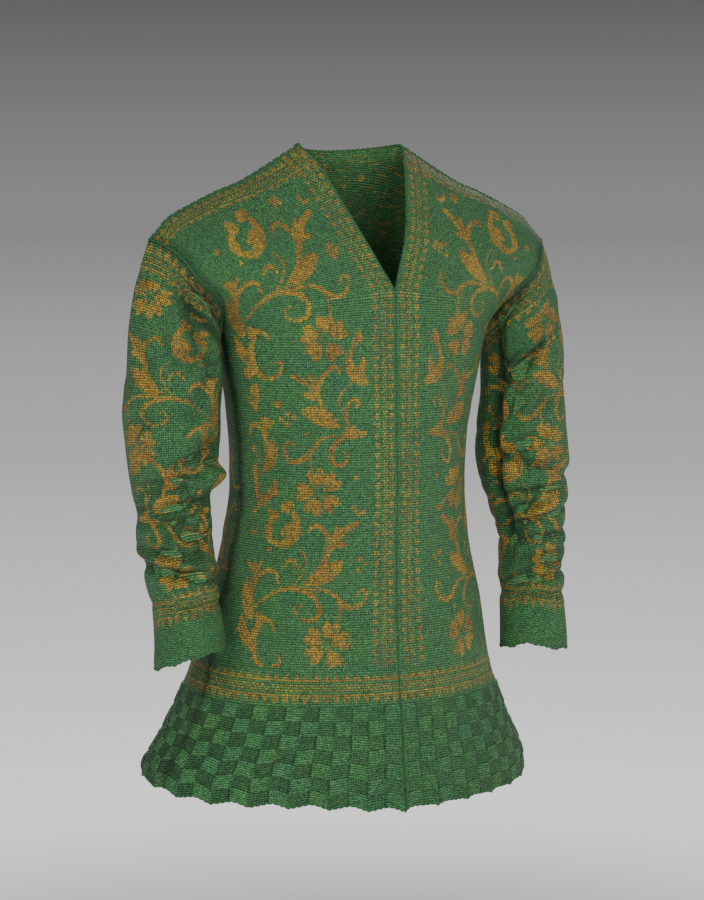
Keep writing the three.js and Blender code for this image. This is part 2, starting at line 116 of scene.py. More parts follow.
# share of the way up, x, y, z
neckEdge = curveTable([
    (0, 0, -98, -182), (0.15, 0, -96, -150), (0.18, 0, -95.5, -142), (0.29, 9, -87, -121),
    (0.44, 22, -75, -92), (0.63, 35, -53, -57), (0.86, 48.5, -24, -17), (1, 57, 0, 0),
])
centreBack = curveTable([
    (0, 0, 96, -182), (0.22, 0, 97, -142), (0.45, 0, 92, -100), (0.7, 0, 80, -55),
    (0.885, 0, 66, -24), (1, 0, 55, -6),
])
frontArmhole = curveTable([
    (0, 145, -10, -182), (0.26, 158, -36, -156), (0.41, 172, -45, -141), (0.54, 187, -46, -127),
    (0.71, 200, -36, -108), (0.9, 212, -14, -95), (1, 217, 0, -92),
])
backArmhole = curveTable([
    (0, 145, -10, -182), (0.22, 155, 14, -160), (0.42, 170, 34, -142), (0.585, 186, 41, -124),
    (0.73, 199, 34, -108), (0.89, 211, 15, -96), (1, 217, 0, -92),
])
shoulderSeam = curveTable([
    (0, 57, 0), (0.39, 120, -36), (0.54, 146, -46), (0.694, 172, -58), (0.853, 198, -72),
    (0.95, 210, -85), (1, 217, -92),
])
backNeck = curveTable([
    (0, 0, 55, -6), (0.26, 22, 51, -5), (0.54, 42, 36, -3), (0.81, 54, 16, -1), (1, 57, 0, 0),
])


ovalTable = {"heights": 160, "turns": 121, "steps": 81}      # how fine the next function's table is


# For a grid of heights, the angle on the body's oval at even steps of length along it.
def arcAngles(fromBack):
    heights = np.linspace(bodyOvals[0][0], panelForm["armpit"], ovalTable["heights"])
    wide, deep, _, seamTurn = readTable(bodyOvals, heights)
    start = 90 if fromBack else -90
    share = np.linspace(0, 1, ovalTable["turns"])
    turn = np.radians(start + (seamTurn - 90 - start)[:, None] * share)
    across = np.hypot(np.diff(wide[:, None] * np.cos(turn)), np.diff(deep[:, None] * np.sin(turn)))
    length = np.concatenate([np.zeros((len(heights), 1)), np.cumsum(across, 1)], 1)
    length /= length[:, -1:]
    even = np.linspace(0, 1, ovalTable["steps"])
    return heights, np.array([np.interp(even, length[i], turn[i]) for i in range(len(heights))])


angleTables = {fromBack: arcAngles(fromBack) for fromBack in (False, True)}


# A place on the body below the arms: along is the share of the way from centre to side seam.
def ovalPoint(z, along, fromBack):
    heights, table = angleTables[fromBack]
    row = np.clip((z - heights[0]) / (heights[-1] - heights[0]), 0, 1) * (len(heights) - 1)
    column = along * (table.shape[1] - 1)
    r = np.minimum(row.astype(int), len(heights) - 2)
    c = np.minimum(column.astype(int), table.shape[1] - 2)
    dr, dc = row - r, column - c
    angle = (table[r, c] * (1 - dr) + table[r + 1, c] * dr) * (1 - dc)
    angle = angle + (table[r, c + 1] * (1 - dr) + table[r + 1, c + 1] * dr) * dc
    wide, deep, middle, _ = readTable(bodyOvals, z)
    return np.stack([wide * np.cos(angle), middle + deep * np.sin(angle), z + 0 * angle], -1)


def upperEdge(along, fromBack):
    neckShare = panelForm["backNeckShare"]
    half = cloth["seamGap"] / 2
    x, z = readTable(shoulderSeam, (along - neckShare) / (1 - neckShare) if fromBack else along)
    y = np.full_like(x, half if fromBack else -half)
    if fromBack:
        neckX, neckY, neckZ = readTable(backNeck, along / neckShare)
        onNeck = along < neckShare
        x, z = np.where(onNeck, neckX, x), np.where(onNeck, neckZ, z)
        y = np.where(onNeck, np.maximum(neckY, half), y)
    return np.stack([x, y, z], -1)


# The upper edge as it is felt further down, with its corner at the neck point rounded off.
def softEdge(along, spread, fromBack):
    reach = np.minimum(spread, 1 - along)
    shares = (-1, -0.5, 0, 0.5, 1)
    mean = 0
    for share in shares:
        at = along + share * reach
        point = upperEdge(np.abs(at), fromBack)
        point[..., 0] *= np.where(at < 0, -1, 1)
        mean = mean + point / len(shares)
    return mean


# Above the armpit a panel fills the space between its four edges.
def upperPoint(along, up, fromBack):
    kind = "back" if fromBack else "front"
    high = up[..., None] ** np.array(panelForm[kind + "Ease"])
    side = along[..., None] ** panelForm[kind + "Side"]
    spread = panelForm[kind + "Spread"] * (1 - up) ** 1.5
    zero, one = np.zeros_like(up), np.ones_like(up)

    def bulge(table, top):
        low, now = [np.moveaxis(readTable(table, share), 0, -1) for share in (zero, up)]
        return now - (low + (top - low) * high)

    lower = ovalPoint(np.full_like(up, panelForm["armpit"]), along, fromBack)
    upper = softEdge(along, spread, fromBack)
    centre = bulge(centreBack if fromBack else neckEdge, softEdge(zero, spread, fromBack))
    armhole = bulge(backArmhole if fromBack else frontArmhole, upperEdge(one, fromBack))
    return lower + (upper - lower) * high + (1 - side) * centre + side * armhole


# A point of half a panel: along from its centre to its side, up from the hem to the top.
def panelPoint(side, along, up, fromBack):
    skirtShare, armpitShare = panelForm["skirtShare"], panelForm["armpitShare"]
    sideTurn = panelForm["sideTurn"]
    turn = 180 - along * (180 - sideTurn) if fromBack else along * sideTurn
    right, left, top = readTable(hemHeights, turn)
    blocks = skirt["backBlocks"] if fromBack else skirt["frontBlocks"]
    arch = np.abs(np.sin(along * blocks * np.pi / 2)) ** 0.8
    arch = arch * (1 + skirt["scallopDrift"] * np.sin(along * skirt["scallopWaves"] + side))
    hem = (left if side > 0 else right) + skirt["scallop"] * arch
    inSkirt = hem + (top - hem) * np.clip(up / skirtShare, 0, 1)
    inBody = top + (panelForm["armpit"] - top) * (up - skirtShare) / (armpitShare - skirtShare)
    z = np.minimum(np.where(up < skirtShare, inSkirt, inBody), panelForm["armpit"])
    upperUp = np.clip((up - armpitShare) / (1 - armpitShare), 0, 1)
    isUpper = (up >= armpitShare)[..., None]
    point = np.where(isUpper, upperPoint(along, upperUp, fromBack), ovalPoint(z, along, fromBack))
    if not fromBack:
        point[..., 0] = np.maximum(point[..., 0], cloth["frontGap"] / 2)
    point[..., 0] *= side
    if not fromBack:
        point[..., 0] += readTable(centreLine, point[..., 2])[0] * (1 - along) ** 2
    return point


# The direction out of a grid of points, whose rows run up and whose columns run along.
def gridNormals(points, sign, closed=False):
    if closed:
        along = np.roll(points, -1, 1) - np.roll(points, 1, 1)
    else:
        along = np.gradient(points, axis=1)
    normal = np.cross(along, np.gradient(points, axis=0)) * sign
    return normal / np.maximum(np.linalg.norm(normal, axis=-1, keepdims=True), 1e-9)


uneven = {
    "height": 0.5, "calm": 20,    # the waves die down over this distance from a sewn edge
    "waves": ((31, 0), (43, 1), (58, 2), (74, 3), (97, 4)),     # length, number of its direction
}


# Hand knitting never lies quite flat: a sum of long waves that run in different directions, each bent
# by a slower one so that it doesn't repeat.
def unevenness(points):
    height = 0
    for length, turn in uneven["waves"]:
        way = np.array([math.cos(turn), math.sin(2.3 * turn), math.sin(turn + 1)])
        phase = points @ (way / np.linalg.norm(way)) * 2 * np.pi / length
        height = height + np.sin(phase + 1.7 * np.sin(phase * 0.37 + turn))
    return height * uneven["height"] / 2


# Length along the columns or rows of a grid, from its first row or column.
def gridLength(points, axis):
    steps = np.linalg.norm(np.diff(points, axis=axis), axis=-1)
    zero = np.zeros_like(np.take(steps, [0], axis))
    return np.concatenate([zero, np.cumsum(steps, axis)], axis)


# A motif is a list of strokes; a stroke is its centre line's points and its half width at each.
# x runs towards the centre front, y up, and a unit's own flower is at 0, 0.
def smoothLine(points, count=26):
    points = np.array(points, float)
    row = np.concatenate([[0], np.cumsum(np.hypot(*np.diff(points, axis=0).T))])
    table = curveTable(np.column_stack([row, points]))
    return readTable(table, np.linspace(0, row[-1], count)).T


# A stroke along some points, with its half widths.
def stem(points, start=2, middle=2.4, end=1.3):
    line = smoothLine(points)
    t = np.linspace(0, 1, len(line))
    return line, np.interp(t, [0, 0.5, 1], [start, middle, end])


# bend is to one side, as a share of the length; a larger fullest has the widest place nearer the tip.
def leaf(base, tip, width, bend=0.0, fullest=0.8):
    base, tip = np.array(base, float), np.array(tip, float)
    t = np.linspace(0, 1, 24)
    across = np.array([base[1] - tip[1], tip[0] - base[0]])
    line = base + (tip - base) * t[:, None] + across * (bend * np.sin(np.pi * t))[:, None]
    return line, width / 2 * np.sin(np.pi * t**fullest) ** 0.8


def dot(x, y, radius):
    return np.array([[x, y]], float), np.array([radius])


petal = {"radius": 23, "lean": 14, "starts": 0.14, "width": 0.38, "fullest": 1.9}


# Each petal is a heart: two lobes that start together near the middle and end a little apart.
def flower(turns):
    strokes = []
    width = petal["radius"] * petal["width"]
    for turn in turns:
        for lean in (-petal["lean"], petal["lean"]):
            angle = math.radians(turn + lean)
            way = np.array([math.cos(angle), math.sin(angle)]) * petal["radius"]
            strokes.append(leaf(way * petal["starts"], way, width, 0, petal["fullest"]))
    return strokes


# A half-open bloom seen from the side: a fat crescent round a core, and three petals that stand off.
def rose(x, y, radius):
    crescent = [(-0.45, -0.8), (0, -0.9), (0.45, -0.62), (0.72, -0.12), (0.68, 0.34), (0.56, 0.6)]
    strokes = [
        stem(crescent, 0.12, 0.27, 0.13),
        stem([(-0.7, 0.04), (-0.75, -0.34), (-0.64, -0.74)], 0.16, 0.23, 0.1),
        dot(0.2, 0.82, 0.27), dot(0.42, 0.95, 0.2), dot(-0.46, 0.42, 0.27), dot(-0.62, 0.58, 0.17),
        dot(0.36, -0.16, 0.29), dot(0.08, -0.32, 0.15), dot(-0.7, -1.12, 0.11),
    ]
    return [(line * radius + (x, y), half * radius) for line, half in strokes]


def tulip():
    return [
        stem([(-18, 62), (-3, 77), (2, 88), (8, 99)], 1.2, 2.4, 4),
        stem([(8, 98), (15, 107), (22, 113), (31, 118)], 4.4, 3.6, 2.6),
        stem([(5, 95), (3, 106), (-3, 113), (-10, 116), (-16, 110)], 3, 2.3, 1.4),
        leaf((9, 101), (13, 117), 6), leaf((8, 96), (22, 98), 6),
    ]


def scrollUnit():
    return flower((76, 14, -68, -145, 150)) + tulip() + rose(-43, 115, 21) + [
        stem([(-75, 34), (-58, 46), (-43, 53), (-27, 54), (-11, 46), (-6, 34), (-12, 25), (-22, 24),
              (-29, 29), (-30, 36), (-25, 38)], 1.4, 3, 1.6),
        stem([(-21, 54), (-10, 54), (3, 52), (11, 46), (18, 38), (27, 36), (35, 40), (40, 47),
              (39, 53), (33, 52), (31, 47)], 1.4, 2.8, 1.3),
        stem([(11, 46), (13, 36), (12, 22)], 1, 1, 1),
        leaf((-25, 57), (18, 81), 16, -0.04, 1.3),
        stem([(-34, 56), (-22, 69), (-18, 81), (-24, 93)], 1, 1, 1),
        stem([(-40, 75), (-35, 81), (-29, 80), (-26, 73)], 1.4, 1.8, 1.2),
        stem([(-76, 48), (-73, 62), (-75, 74)], 1.6, 3, 3.8),
        stem([(-74, 68), (-66, 78)], 2.6, 2, 1.4), stem([(-76, 72), (-82, 77)], 2.4, 2, 1.4),
        stem([(-74, 57), (-67, 66), (-57, 71), (-49, 68), (-47, 60)], 1.8, 2.4, 1.5),
        leaf((-78, 22), (-82, 64), 14, 0.05),
        leaf((-75, -6), (-89, 27), 12, 0.1), stem([(-86, 13), (-96, 11)], 3, 2, 1),
        stem([(-75, -6), (-73, 10), (-68, 20), (-69, 27)], 2.6, 3.2, 4),
        stem([(-69, 24), (-61, 24), (-55, 20), (-51, 13)], 3, 2.2, 1.4),
        stem([(-76, -5), (-71, -18), (-61, -24), (-50, -20), (-46, -12), (-52, -10)], 2.8, 2.2, 1.3),
        dot(34, 83, 2.8), dot(41, 79, 2.4), dot(34, 72, 2.8), dot(-77, 107, 3),
        stem([(27, 135), (33, 127), (39, 129)], 1.2, 1.8, 1.6),
    ]


def budUnit():
    return flower((101, 38, -43, -112, 180)) + [
        leaf((21, 63), (-16, 80), 17, -0.05, 1.1),
        leaf((22, 56), (50, 57), 9), leaf((27, 58), (36, 65), 6),
        stem([(29, 60), (27, 76), (30, 87), (36, 91), (40, 87), (37, 83)], 1.8, 1.6, 1.3),
        stem([(24, 76), (20, 87), (24, 98), (34, 108)], 0.9, 1, 0.8),
        stem([(27, 56), (16, 46), (12, 34), (18, 26), (26, 29), (29, 37), (24, 40)], 2.8, 2.2, 1.2),
        stem([(18, 56), (2, 51), (-7, 40), (-17, 31), (-27, 29), (-34, 37), (-34, 45), (-26, 48),
              (-22, 44)], 1.4, 2.8, 1.4),
        stem([(-6, 40), (-8, 28), (-6, 18)], 0.9, 0.9, 0.9),
        stem([(6, 77), (2, 89), (-1, 99), (2, 108), (11, 120), (17, 122), (21, 116)], 1.4, 3, 1.4),
        stem([(-1, 98), (-8, 104), (-16, 109), (-25, 113)], 3.4, 3.2, 1.8),
        leaf((2, 91), (-16, 96), 7), leaf((-2, 102), (-8, 117), 6),
        stem([(29, 127), (33, 118), (40, 111), (48, 107)], 3, 6.8, 4),
        stem([(41, 113), (44, 122), (45, 130)], 4.4, 3.4, 1.4),
        stem([(30, 126), (32, 138), (38, 148)], 2.6, 1.8, 2.4),
        dot(39, 149, 5), leaf((39, 147), (40, 159), 6),
        leaf((-57, 18), (-47, 53), 11, -0.12),
        stem([(-61, 15), (-55, 31), (-54, 45), (-56, 56), (-53, 68)], 1.6, 3, 3.4),
        stem([(-54, 62), (-46, 67)], 2.6, 2, 1.4), stem([(-55, 63), (-60, 71)], 2.4, 2, 1.2),
        stem([(-56, 56), (-65, 64), (-73, 63), (-75, 55)], 2, 2.4, 1.4),
        dot(-71, 40, 3), stem([(-70, 39), (-63, 27)], 1.4, 1.3, 1), leaf((-70, 10), (-69, 26), 7),
        stem([(-70, 12), (-68, 0), (-63, -12), (-56, -8), (-49, 2), (-46, 9)], 2.4, 4.2, 2.4),
        dot(-46, -1, 4), stem([(-63, -12), (-70, -18), (-73, -23)], 2, 1.6, 2.4),
        dot(-71, 115, 6.5), dot(-66, 98, 6), leaf((-64, 78), (-75, 92), 6), leaf((-65, 84), (-62, 98), 6),
        dot(-30, 76, 2.8), dot(-38, 70, 2.8), dot(-24, 73, 2.6), dot(-31, 65, 3), dot(-40, 85, 3.4),
        dot(-11, 56, 2), dot(36, 14, 2.4),
    ]


motifs = {
    "bough": scrollUnit(), "bud": budUnit(),
    "cross": [dot(0, 0, 2.6), dot(5, 3, 2.4), dot(-4, 4, 2.4), dot(1, 7, 2.6)],
    "vee": [leaf((0, 0), (-14, 30), 11, 0.1), stem([(0, 0), (5, 14), (6, 28), (14, 30)], 2.4, 4, 1.6),
            stem([(1, 1), (6, -12), (17, -17), (27, -12), (27, -5)], 2.2, 2.3, 1.4)],
}

# motif, distance from the centre line, height, size, whether it is turned left to right, its lean
frontMotifs = {
    -1: [
        ("bough", 74, -485, 1, False, 0), ("bud", 79, -337, 1, False, 0),
        ("bough", 73, -188, 1, False, 15),
        ("cross", 106, -60, 1, False, 0), ("cross", 60, -108, 1, False, 0),
    ],
    1: [
        ("bough", 89, -484, 1, False, 0), ("bud", 85, -338, 1, False, 0),
        ("bough", 82, -187, 1, False, 15),
        ("cross", 104, -56, 1, False, 0), ("cross", 60, -104, 1, False, 0),
    ],
}
backMotifs = [
    ("bough", 46, -478, 1, False, 0), ("bud", 48, -337, 1, False, 0), ("bough", 46, -187, 1, False, 8),
    ("bud", 160, -470, 0.95, True, 0), ("vee", 160, -322, 1, True, 0), ("vee", 158, -215, 1, False, 0),
    ("cross", 165, -130, 1, False, 0), ("cross", 20, -60, 1, False, 0),
]
sleeveMotifs = {
    -1: [
        ("bud", 40, -410, 0.88, False, 0), ("bough", 12, -289, 0.9, False, 5),
        ("bud", 18, -146, 0.9, False, 0), ("vee", 86, -150, 0.9, False, 0),
        ("bough", 150, -408, 0.88, False, 0), ("bud", 150, -286, 0.88, False, 0),
        ("bough", 146, -160, 0.88, False, 0), ("vee", 92, -440, 0.8, True, 0),
    ],
    1: [
        ("bough", 64, -424, 0.88, False, 0), ("bud", 60, -302, 0.88, False, 0),
        ("bough", 58, -174, 0.88, False, 0), ("vee", 122, -196, 0.8, True, 0),
        ("bud", 190, -400, 0.88, False, 0), ("bough", 188, -276, 0.88, False, 0),
        ("bud", 188, -150, 0.88, False, 0), ("vee", 150, -445, 0.8, False, 0),
    ],
}


farOutside = -3.0            # depth that stands for any place well clear of a stroke
strokeReach = 14             # no stroke reaches further than this from its centre line


# How far inside the nearest stroke each point lies, in millimetres; below zero is outside.
def drawMotifs(places, across, height, wrap=None):
    depth = np.full(across.shape, farOutside)
    for name, middle, z, size, turned, lean in places:
        cosLean, sinLean = math.cos(math.radians(lean)), math.sin(math.radians(lean))
        mirror = 1 if turned else -1
        for line, half in motifs[name]:
            x = (line[:, 0] * cosLean - line[:, 1] * sinLean) * size * mirror + middle
            y = (line[:, 0] * sinLean + line[:, 1] * cosLean) * size + z
            for lap in (0,) if wrap is None else (-wrap, 0, wrap):
                near = np.abs(across - (x.mean() + lap)) < np.ptp(x) / 2 + strokeReach
                near &= np.abs(height - y.mean()) < np.ptp(y) / 2 + strokeReach
                if not near.any():
                    continue
                apart = np.hypot(across[near][:, None] - x - lap, height[near][:, None] - y)
                depth[near] = np.maximum(depth[near], (half * size - apart).max(1))
    return depth


# Bands as charts of one repeat, a letter for a stitch, X in gold; the first line is the lowest row.
stripeChart = [
    "..X..", ".XXX.", ".XXX.", "XXXXX", ".....", "X.X.X",
    ".X.X.", "X.X.X", ".....", "XXXXX", ".XXX.", "..X..",
]
edgeChart = ["...X...X....X..", "..XXX.X.X..XXX.", "..XXX..X...XXX.", "......X.X......"]
edgeColumns = list(zip(*edgeChart))      # the same chart, a line for each column


# Gold cells of a band whose rows are numbered, with the chart's columns repeated along them.
def chartCells(chart, row, column):
    cells = np.array([[letter == "X" for letter in line] for line in chart])
    inside = (row >= 0) & (row < len(chart))
    return inside & cells[np.clip(row, 0, len(chart) - 1), column % cells.shape[1]]


# A piece is a closed wall: a fine outside, a plain inside, and rims of triangles that join them.
def zipRim(outer, inner, picks, backwards):
    faces = []
    for k in range(len(picks) - 1):
        low, high = picks[k], picks[k + 1]
        middle = (low + high) // 2
        faces += [(outer[j], outer[j + 1], inner[k]) for j in range(low, middle)]
        faces.append((outer[middle], inner[k + 1], inner[k]))
        faces += [(outer[j], outer[j + 1], inner[k + 1]) for j in range(middle, high)]
    faces = np.array(faces)
    return faces[:, ::-1] if backwards else faces


def everyNth(count, step):
    picks = list(range(0, count, step))
    if count - 1 - picks[-1] < step / 2 and len(picks) > 1:
        picks.pop()
    return np.array(picks + [count - 1])


def addObject(name, data):
    thing = bpy.data.objects.new(name, data)
    bpy.context.scene.collection.objects.link(thing)
    return thing


def wallObject(name, outside, inside, rowAt, yarn, closed, flip, materials):
    rows, columns = outside.shape[:2]
    cells = columns if closed else columns - 1
    pickRows = everyNth(rows, cloth["innerStep"])
    tubePicks = np.arange(0, columns + 1, cloth["tubeStep"])
    pickColumns = tubePicks if closed else everyNth(columns, cloth["innerStep"])
    ids = np.arange(rows * columns).reshape(rows, columns)
    if closed:
        ids = np.concatenate([ids, ids[:, :1]], 1)
    innerPoints = inside[pickRows][:, pickColumns[:-1] if closed else pickColumns]
    innerIds = rows * columns + np.arange(innerPoints.shape[0] * innerPoints.shape[1])
    innerIds = innerIds.reshape(innerPoints.shape[:2])
    if closed:
        innerIds = np.concatenate([innerIds, innerIds[:, :1]], 1)
    points = np.concatenate([outside.reshape(-1, 3), innerPoints.reshape(-1, 3)])

    def quads(grid):
        return np.stack([grid[:-1, :-1], grid[:-1, 1:], grid[1:, 1:], grid[1:, :-1]], -1).reshape(-1, 4)

    outerQuads, innerQuads = quads(ids), quads(innerIds)[:, ::-1]
    rims = [zipRim(ids[-1], innerIds[-1], pickColumns, False)]
    rims.append(zipRim(ids[0], innerIds[0], pickColumns, True))
    if not closed:
        rims.append(zipRim(ids[:, 0], innerIds[:, 0], pickRows, False))
        rims.append(zipRim(ids[:, -1], innerIds[:, -1], pickRows, True))
    rimFaces = np.concatenate(rims)

    # stitches across and up at every corner, for the knitting's own pattern
    columnAt = np.arange(cells + 1)
    gridU, gridV = np.meshgrid(columnAt, rowAt)
    outerUv = np.stack([quads(gridU), quads(gridV)], -1).astype(float)
    gridU, gridV = np.meshgrid(pickColumns, rowAt[pickRows])
    innerUv = np.stack([quads(gridU)[:, ::-1], quads(gridV)[:, ::-1]], -1).astype(float)
    rimUv = np.tile(np.array([[0.0, 0.0], [1.0, 0.0], [0.5, 1.0]]), (len(rimFaces), 1, 1))

    depth = yarn["depth"]
    if closed:
        depth = np.concatenate([depth, depth[:, :1]], 1)
    depth = quads(depth)
    cell = [np.repeat(yarn[key].reshape(-1, 1), 4, 1) for key in ("chart", "purl", "toneAndShade")]
    outerColour = np.stack([depth, *cell], -1).astype(float)
    plain = np.array([farOutside, 0, 1, 0.5])      # green purl of a middling tone
    innerColour = np.tile(plain, (len(innerQuads), 4, 1))
    rimColour = np.tile(plain, (len(rimFaces), 3, 1))

    if flip:
        outerQuads, innerQuads, rimFaces = outerQuads[:, ::-1], innerQuads[:, ::-1], rimFaces[:, ::-1]
        outerUv, innerUv, outerColour = outerUv[:, ::-1], innerUv[:, ::-1], outerColour[:, ::-1]
    four = np.concatenate([outerQuads, innerQuads])
    mesh = bpy.data.meshes.new(name)
    mesh.vertices.add(len(points))
    mesh.vertices.foreach_set("co", (points * mm).astype(np.float32).ravel())
    corners = np.concatenate([four.ravel(), rimFaces.ravel()]).astype(np.int32)
    mesh.loops.add(len(corners))
    mesh.loops.foreach_set("vertex_index", corners)
    starts = np.concatenate([np.arange(len(four)) * 4, len(four) * 4 + np.arange(len(rimFaces)) * 3])
    mesh.polygons.add(len(starts))
    mesh.polygons.foreach_set("loop_start", starts.astype(np.int32))
    slots = np.zeros(len(starts), np.int32)
    slots[len(outerQuads):len(four)] = 1
    mesh.polygons.foreach_set("material_index", slots)
    mesh.polygons.foreach_set("use_smooth", np.ones(len(starts), bool))
    mesh.update(calc_edges=True)
    uv = np.concatenate([outerUv.reshape(-1, 2), innerUv.reshape(-1, 2), rimUv.reshape(-1, 2)])
    mesh.uv_layers.new(name="stitches").data.foreach_set("uv", uv.astype(np.float32).ravel())
    colour = np.concatenate([part.reshape(-1, 4) for part in (outerColour, innerColour, rimColour)])
    attribute = mesh.color_attributes.new("yarn", "FLOAT_COLOR", "CORNER")
    attribute.data.foreach_set("color", colour.astype(np.float32).ravel())
    for material in materials:
        mesh.materials.append(material)
    print(name, "has", len(four) * 2 + len(rimFaces), "triangles")
    return addObject(name, mesh)


# A hex colour as linear red, green and blue.
def linear(hexColour):
    parts = [int(hexColour[i:i + 2], 16) / 255 for i in (1, 3, 5)]
    return (*[p / 12.92 if p <= 0.04045 else ((p + 0.055) / 1.055) ** 2.4 for p in parts], 1)


# Adds a node with its settings. Its inputs are values, sockets, or nodes whose first output is meant,
# in order or by name; a ramp's stops are places from 0 to 1 with their greys.
def addNode(tree, kind, *inputs, named=None, stops=(), **settings):
    node = tree.nodes.new("ShaderNode" + kind)
    for key, value in settings.items():
        setattr(node, key, value)
    for key, value in (*enumerate(inputs), *(named or {}).items()):
        if isinstance(value, bpy.types.Node):
            value = value.outputs[0]
        if isinstance(value, bpy.types.NodeSocket):
            tree.links.new(value, node.inputs[key])
        else:
            node.inputs[key].default_value = value
    for place, grey in stops[2:]:
        node.color_ramp.elements.new(place)
    for i, (place, grey) in enumerate(stops):
        node.color_ramp.elements[i].position = place
        node.color_ramp.elements[i].color = (grey, grey, grey, 1)
    return node


# An empty material, and addNode for its tree.
def newMaterial(name):
    material = bpy.data.materials.new(name)
    material.use_nodes = True
    material.node_tree.nodes.clear()
    return material, partial(addNode, material.node_tree)


silk = {
    "green": "#4E8548", "deepGreen": "#2A562F", "tealGreen": "#427C52",
    "edge": "#2C5E38", "gold": "#BE962E", "rust": "#8C5C2C",
    "roughness": 0.66, "sheen": 0.04, "sheenRoughness": 0.45, "ior": 1.54,  # silk's own index
    "gloss": 0.3,            # crossed fibres give back less light than a smooth skin of silk
    "slant": 0.8,            # how far a knit stitch's legs rise to its sides, in rows
    "groove": 0.0,           # light left in the gap between two stitches
    "top": 1.3,              # light on a stitch's top
    "relief": 1.1,           # height of a stitch
    "uneven": 1.1,           # how much one thread is lighter than the next
    "ragged": 1.5,           # how far a flower's edge moves in and out from stitch to stitch
    "blur": 0.3,             # half the width over which gold goes over into green there
    "missed": 0.1,           # share of gold stitches that the green yarn covers,
    "missedGold": 0.15,      # and the gold that still shows on them
    "solidGold": 0.92, "bandGold": 0.66,       # share of gold that shows in flowers and in bands
    "rustyPlaces": 2.2, "rustyStitches": 0.7,  # how much the gold's rust varies by place and by stitch
    "deep": 0.55,            # how much of the deep green the darkest places take up, as painted shade where they are creases, seams and sunk blocks
    "lightest": 1.12, "darkest": 0.45,         # light left at a tone of 0.1 and of 2
    # sizes of the silk's grain (real filaments are far too fine to show, so it is drawn as coarse as
    # the plies of the yarn), of the clouds of its dye, and of the places where gold has gone rusty
    "fibre": 1.1, "skein": 33, "worn": 45,
    "plaitFibre": 0.7, "plaitDye": 17, "plaitRelief": 0.3,
    "bump": 0.8, "plaitBump": 0.7,             # how strongly the reliefs catch the light
}
# The profile of a stitch: for each wave its share, then what it is added to.
stitchForm = {
    "knitAcross": (0.2, 0.55), "knitLegs": 0.25, "knitRow": (0.4, 0.6),
    "purlAcross": (0.15, 0.85), "purlArch": 0.1, "purlRow": (0.36, 0.6),
    "fibre": 0.9, "fibreMean": 0.45,           # share of the silk's grain, and its mean height
    "mean": 0.4,                               # height at which a flower's edge is where it is drawn
    "goldUp": (0.05, 0.35, 0.2, 1.0),          # heights from and to which gold comes up, share at each
    "floatStretch": (0.12, 0.8, 1.0), "floats": (0.56, 0.66, 0.0, 0.7),      # the gold carried behind
}


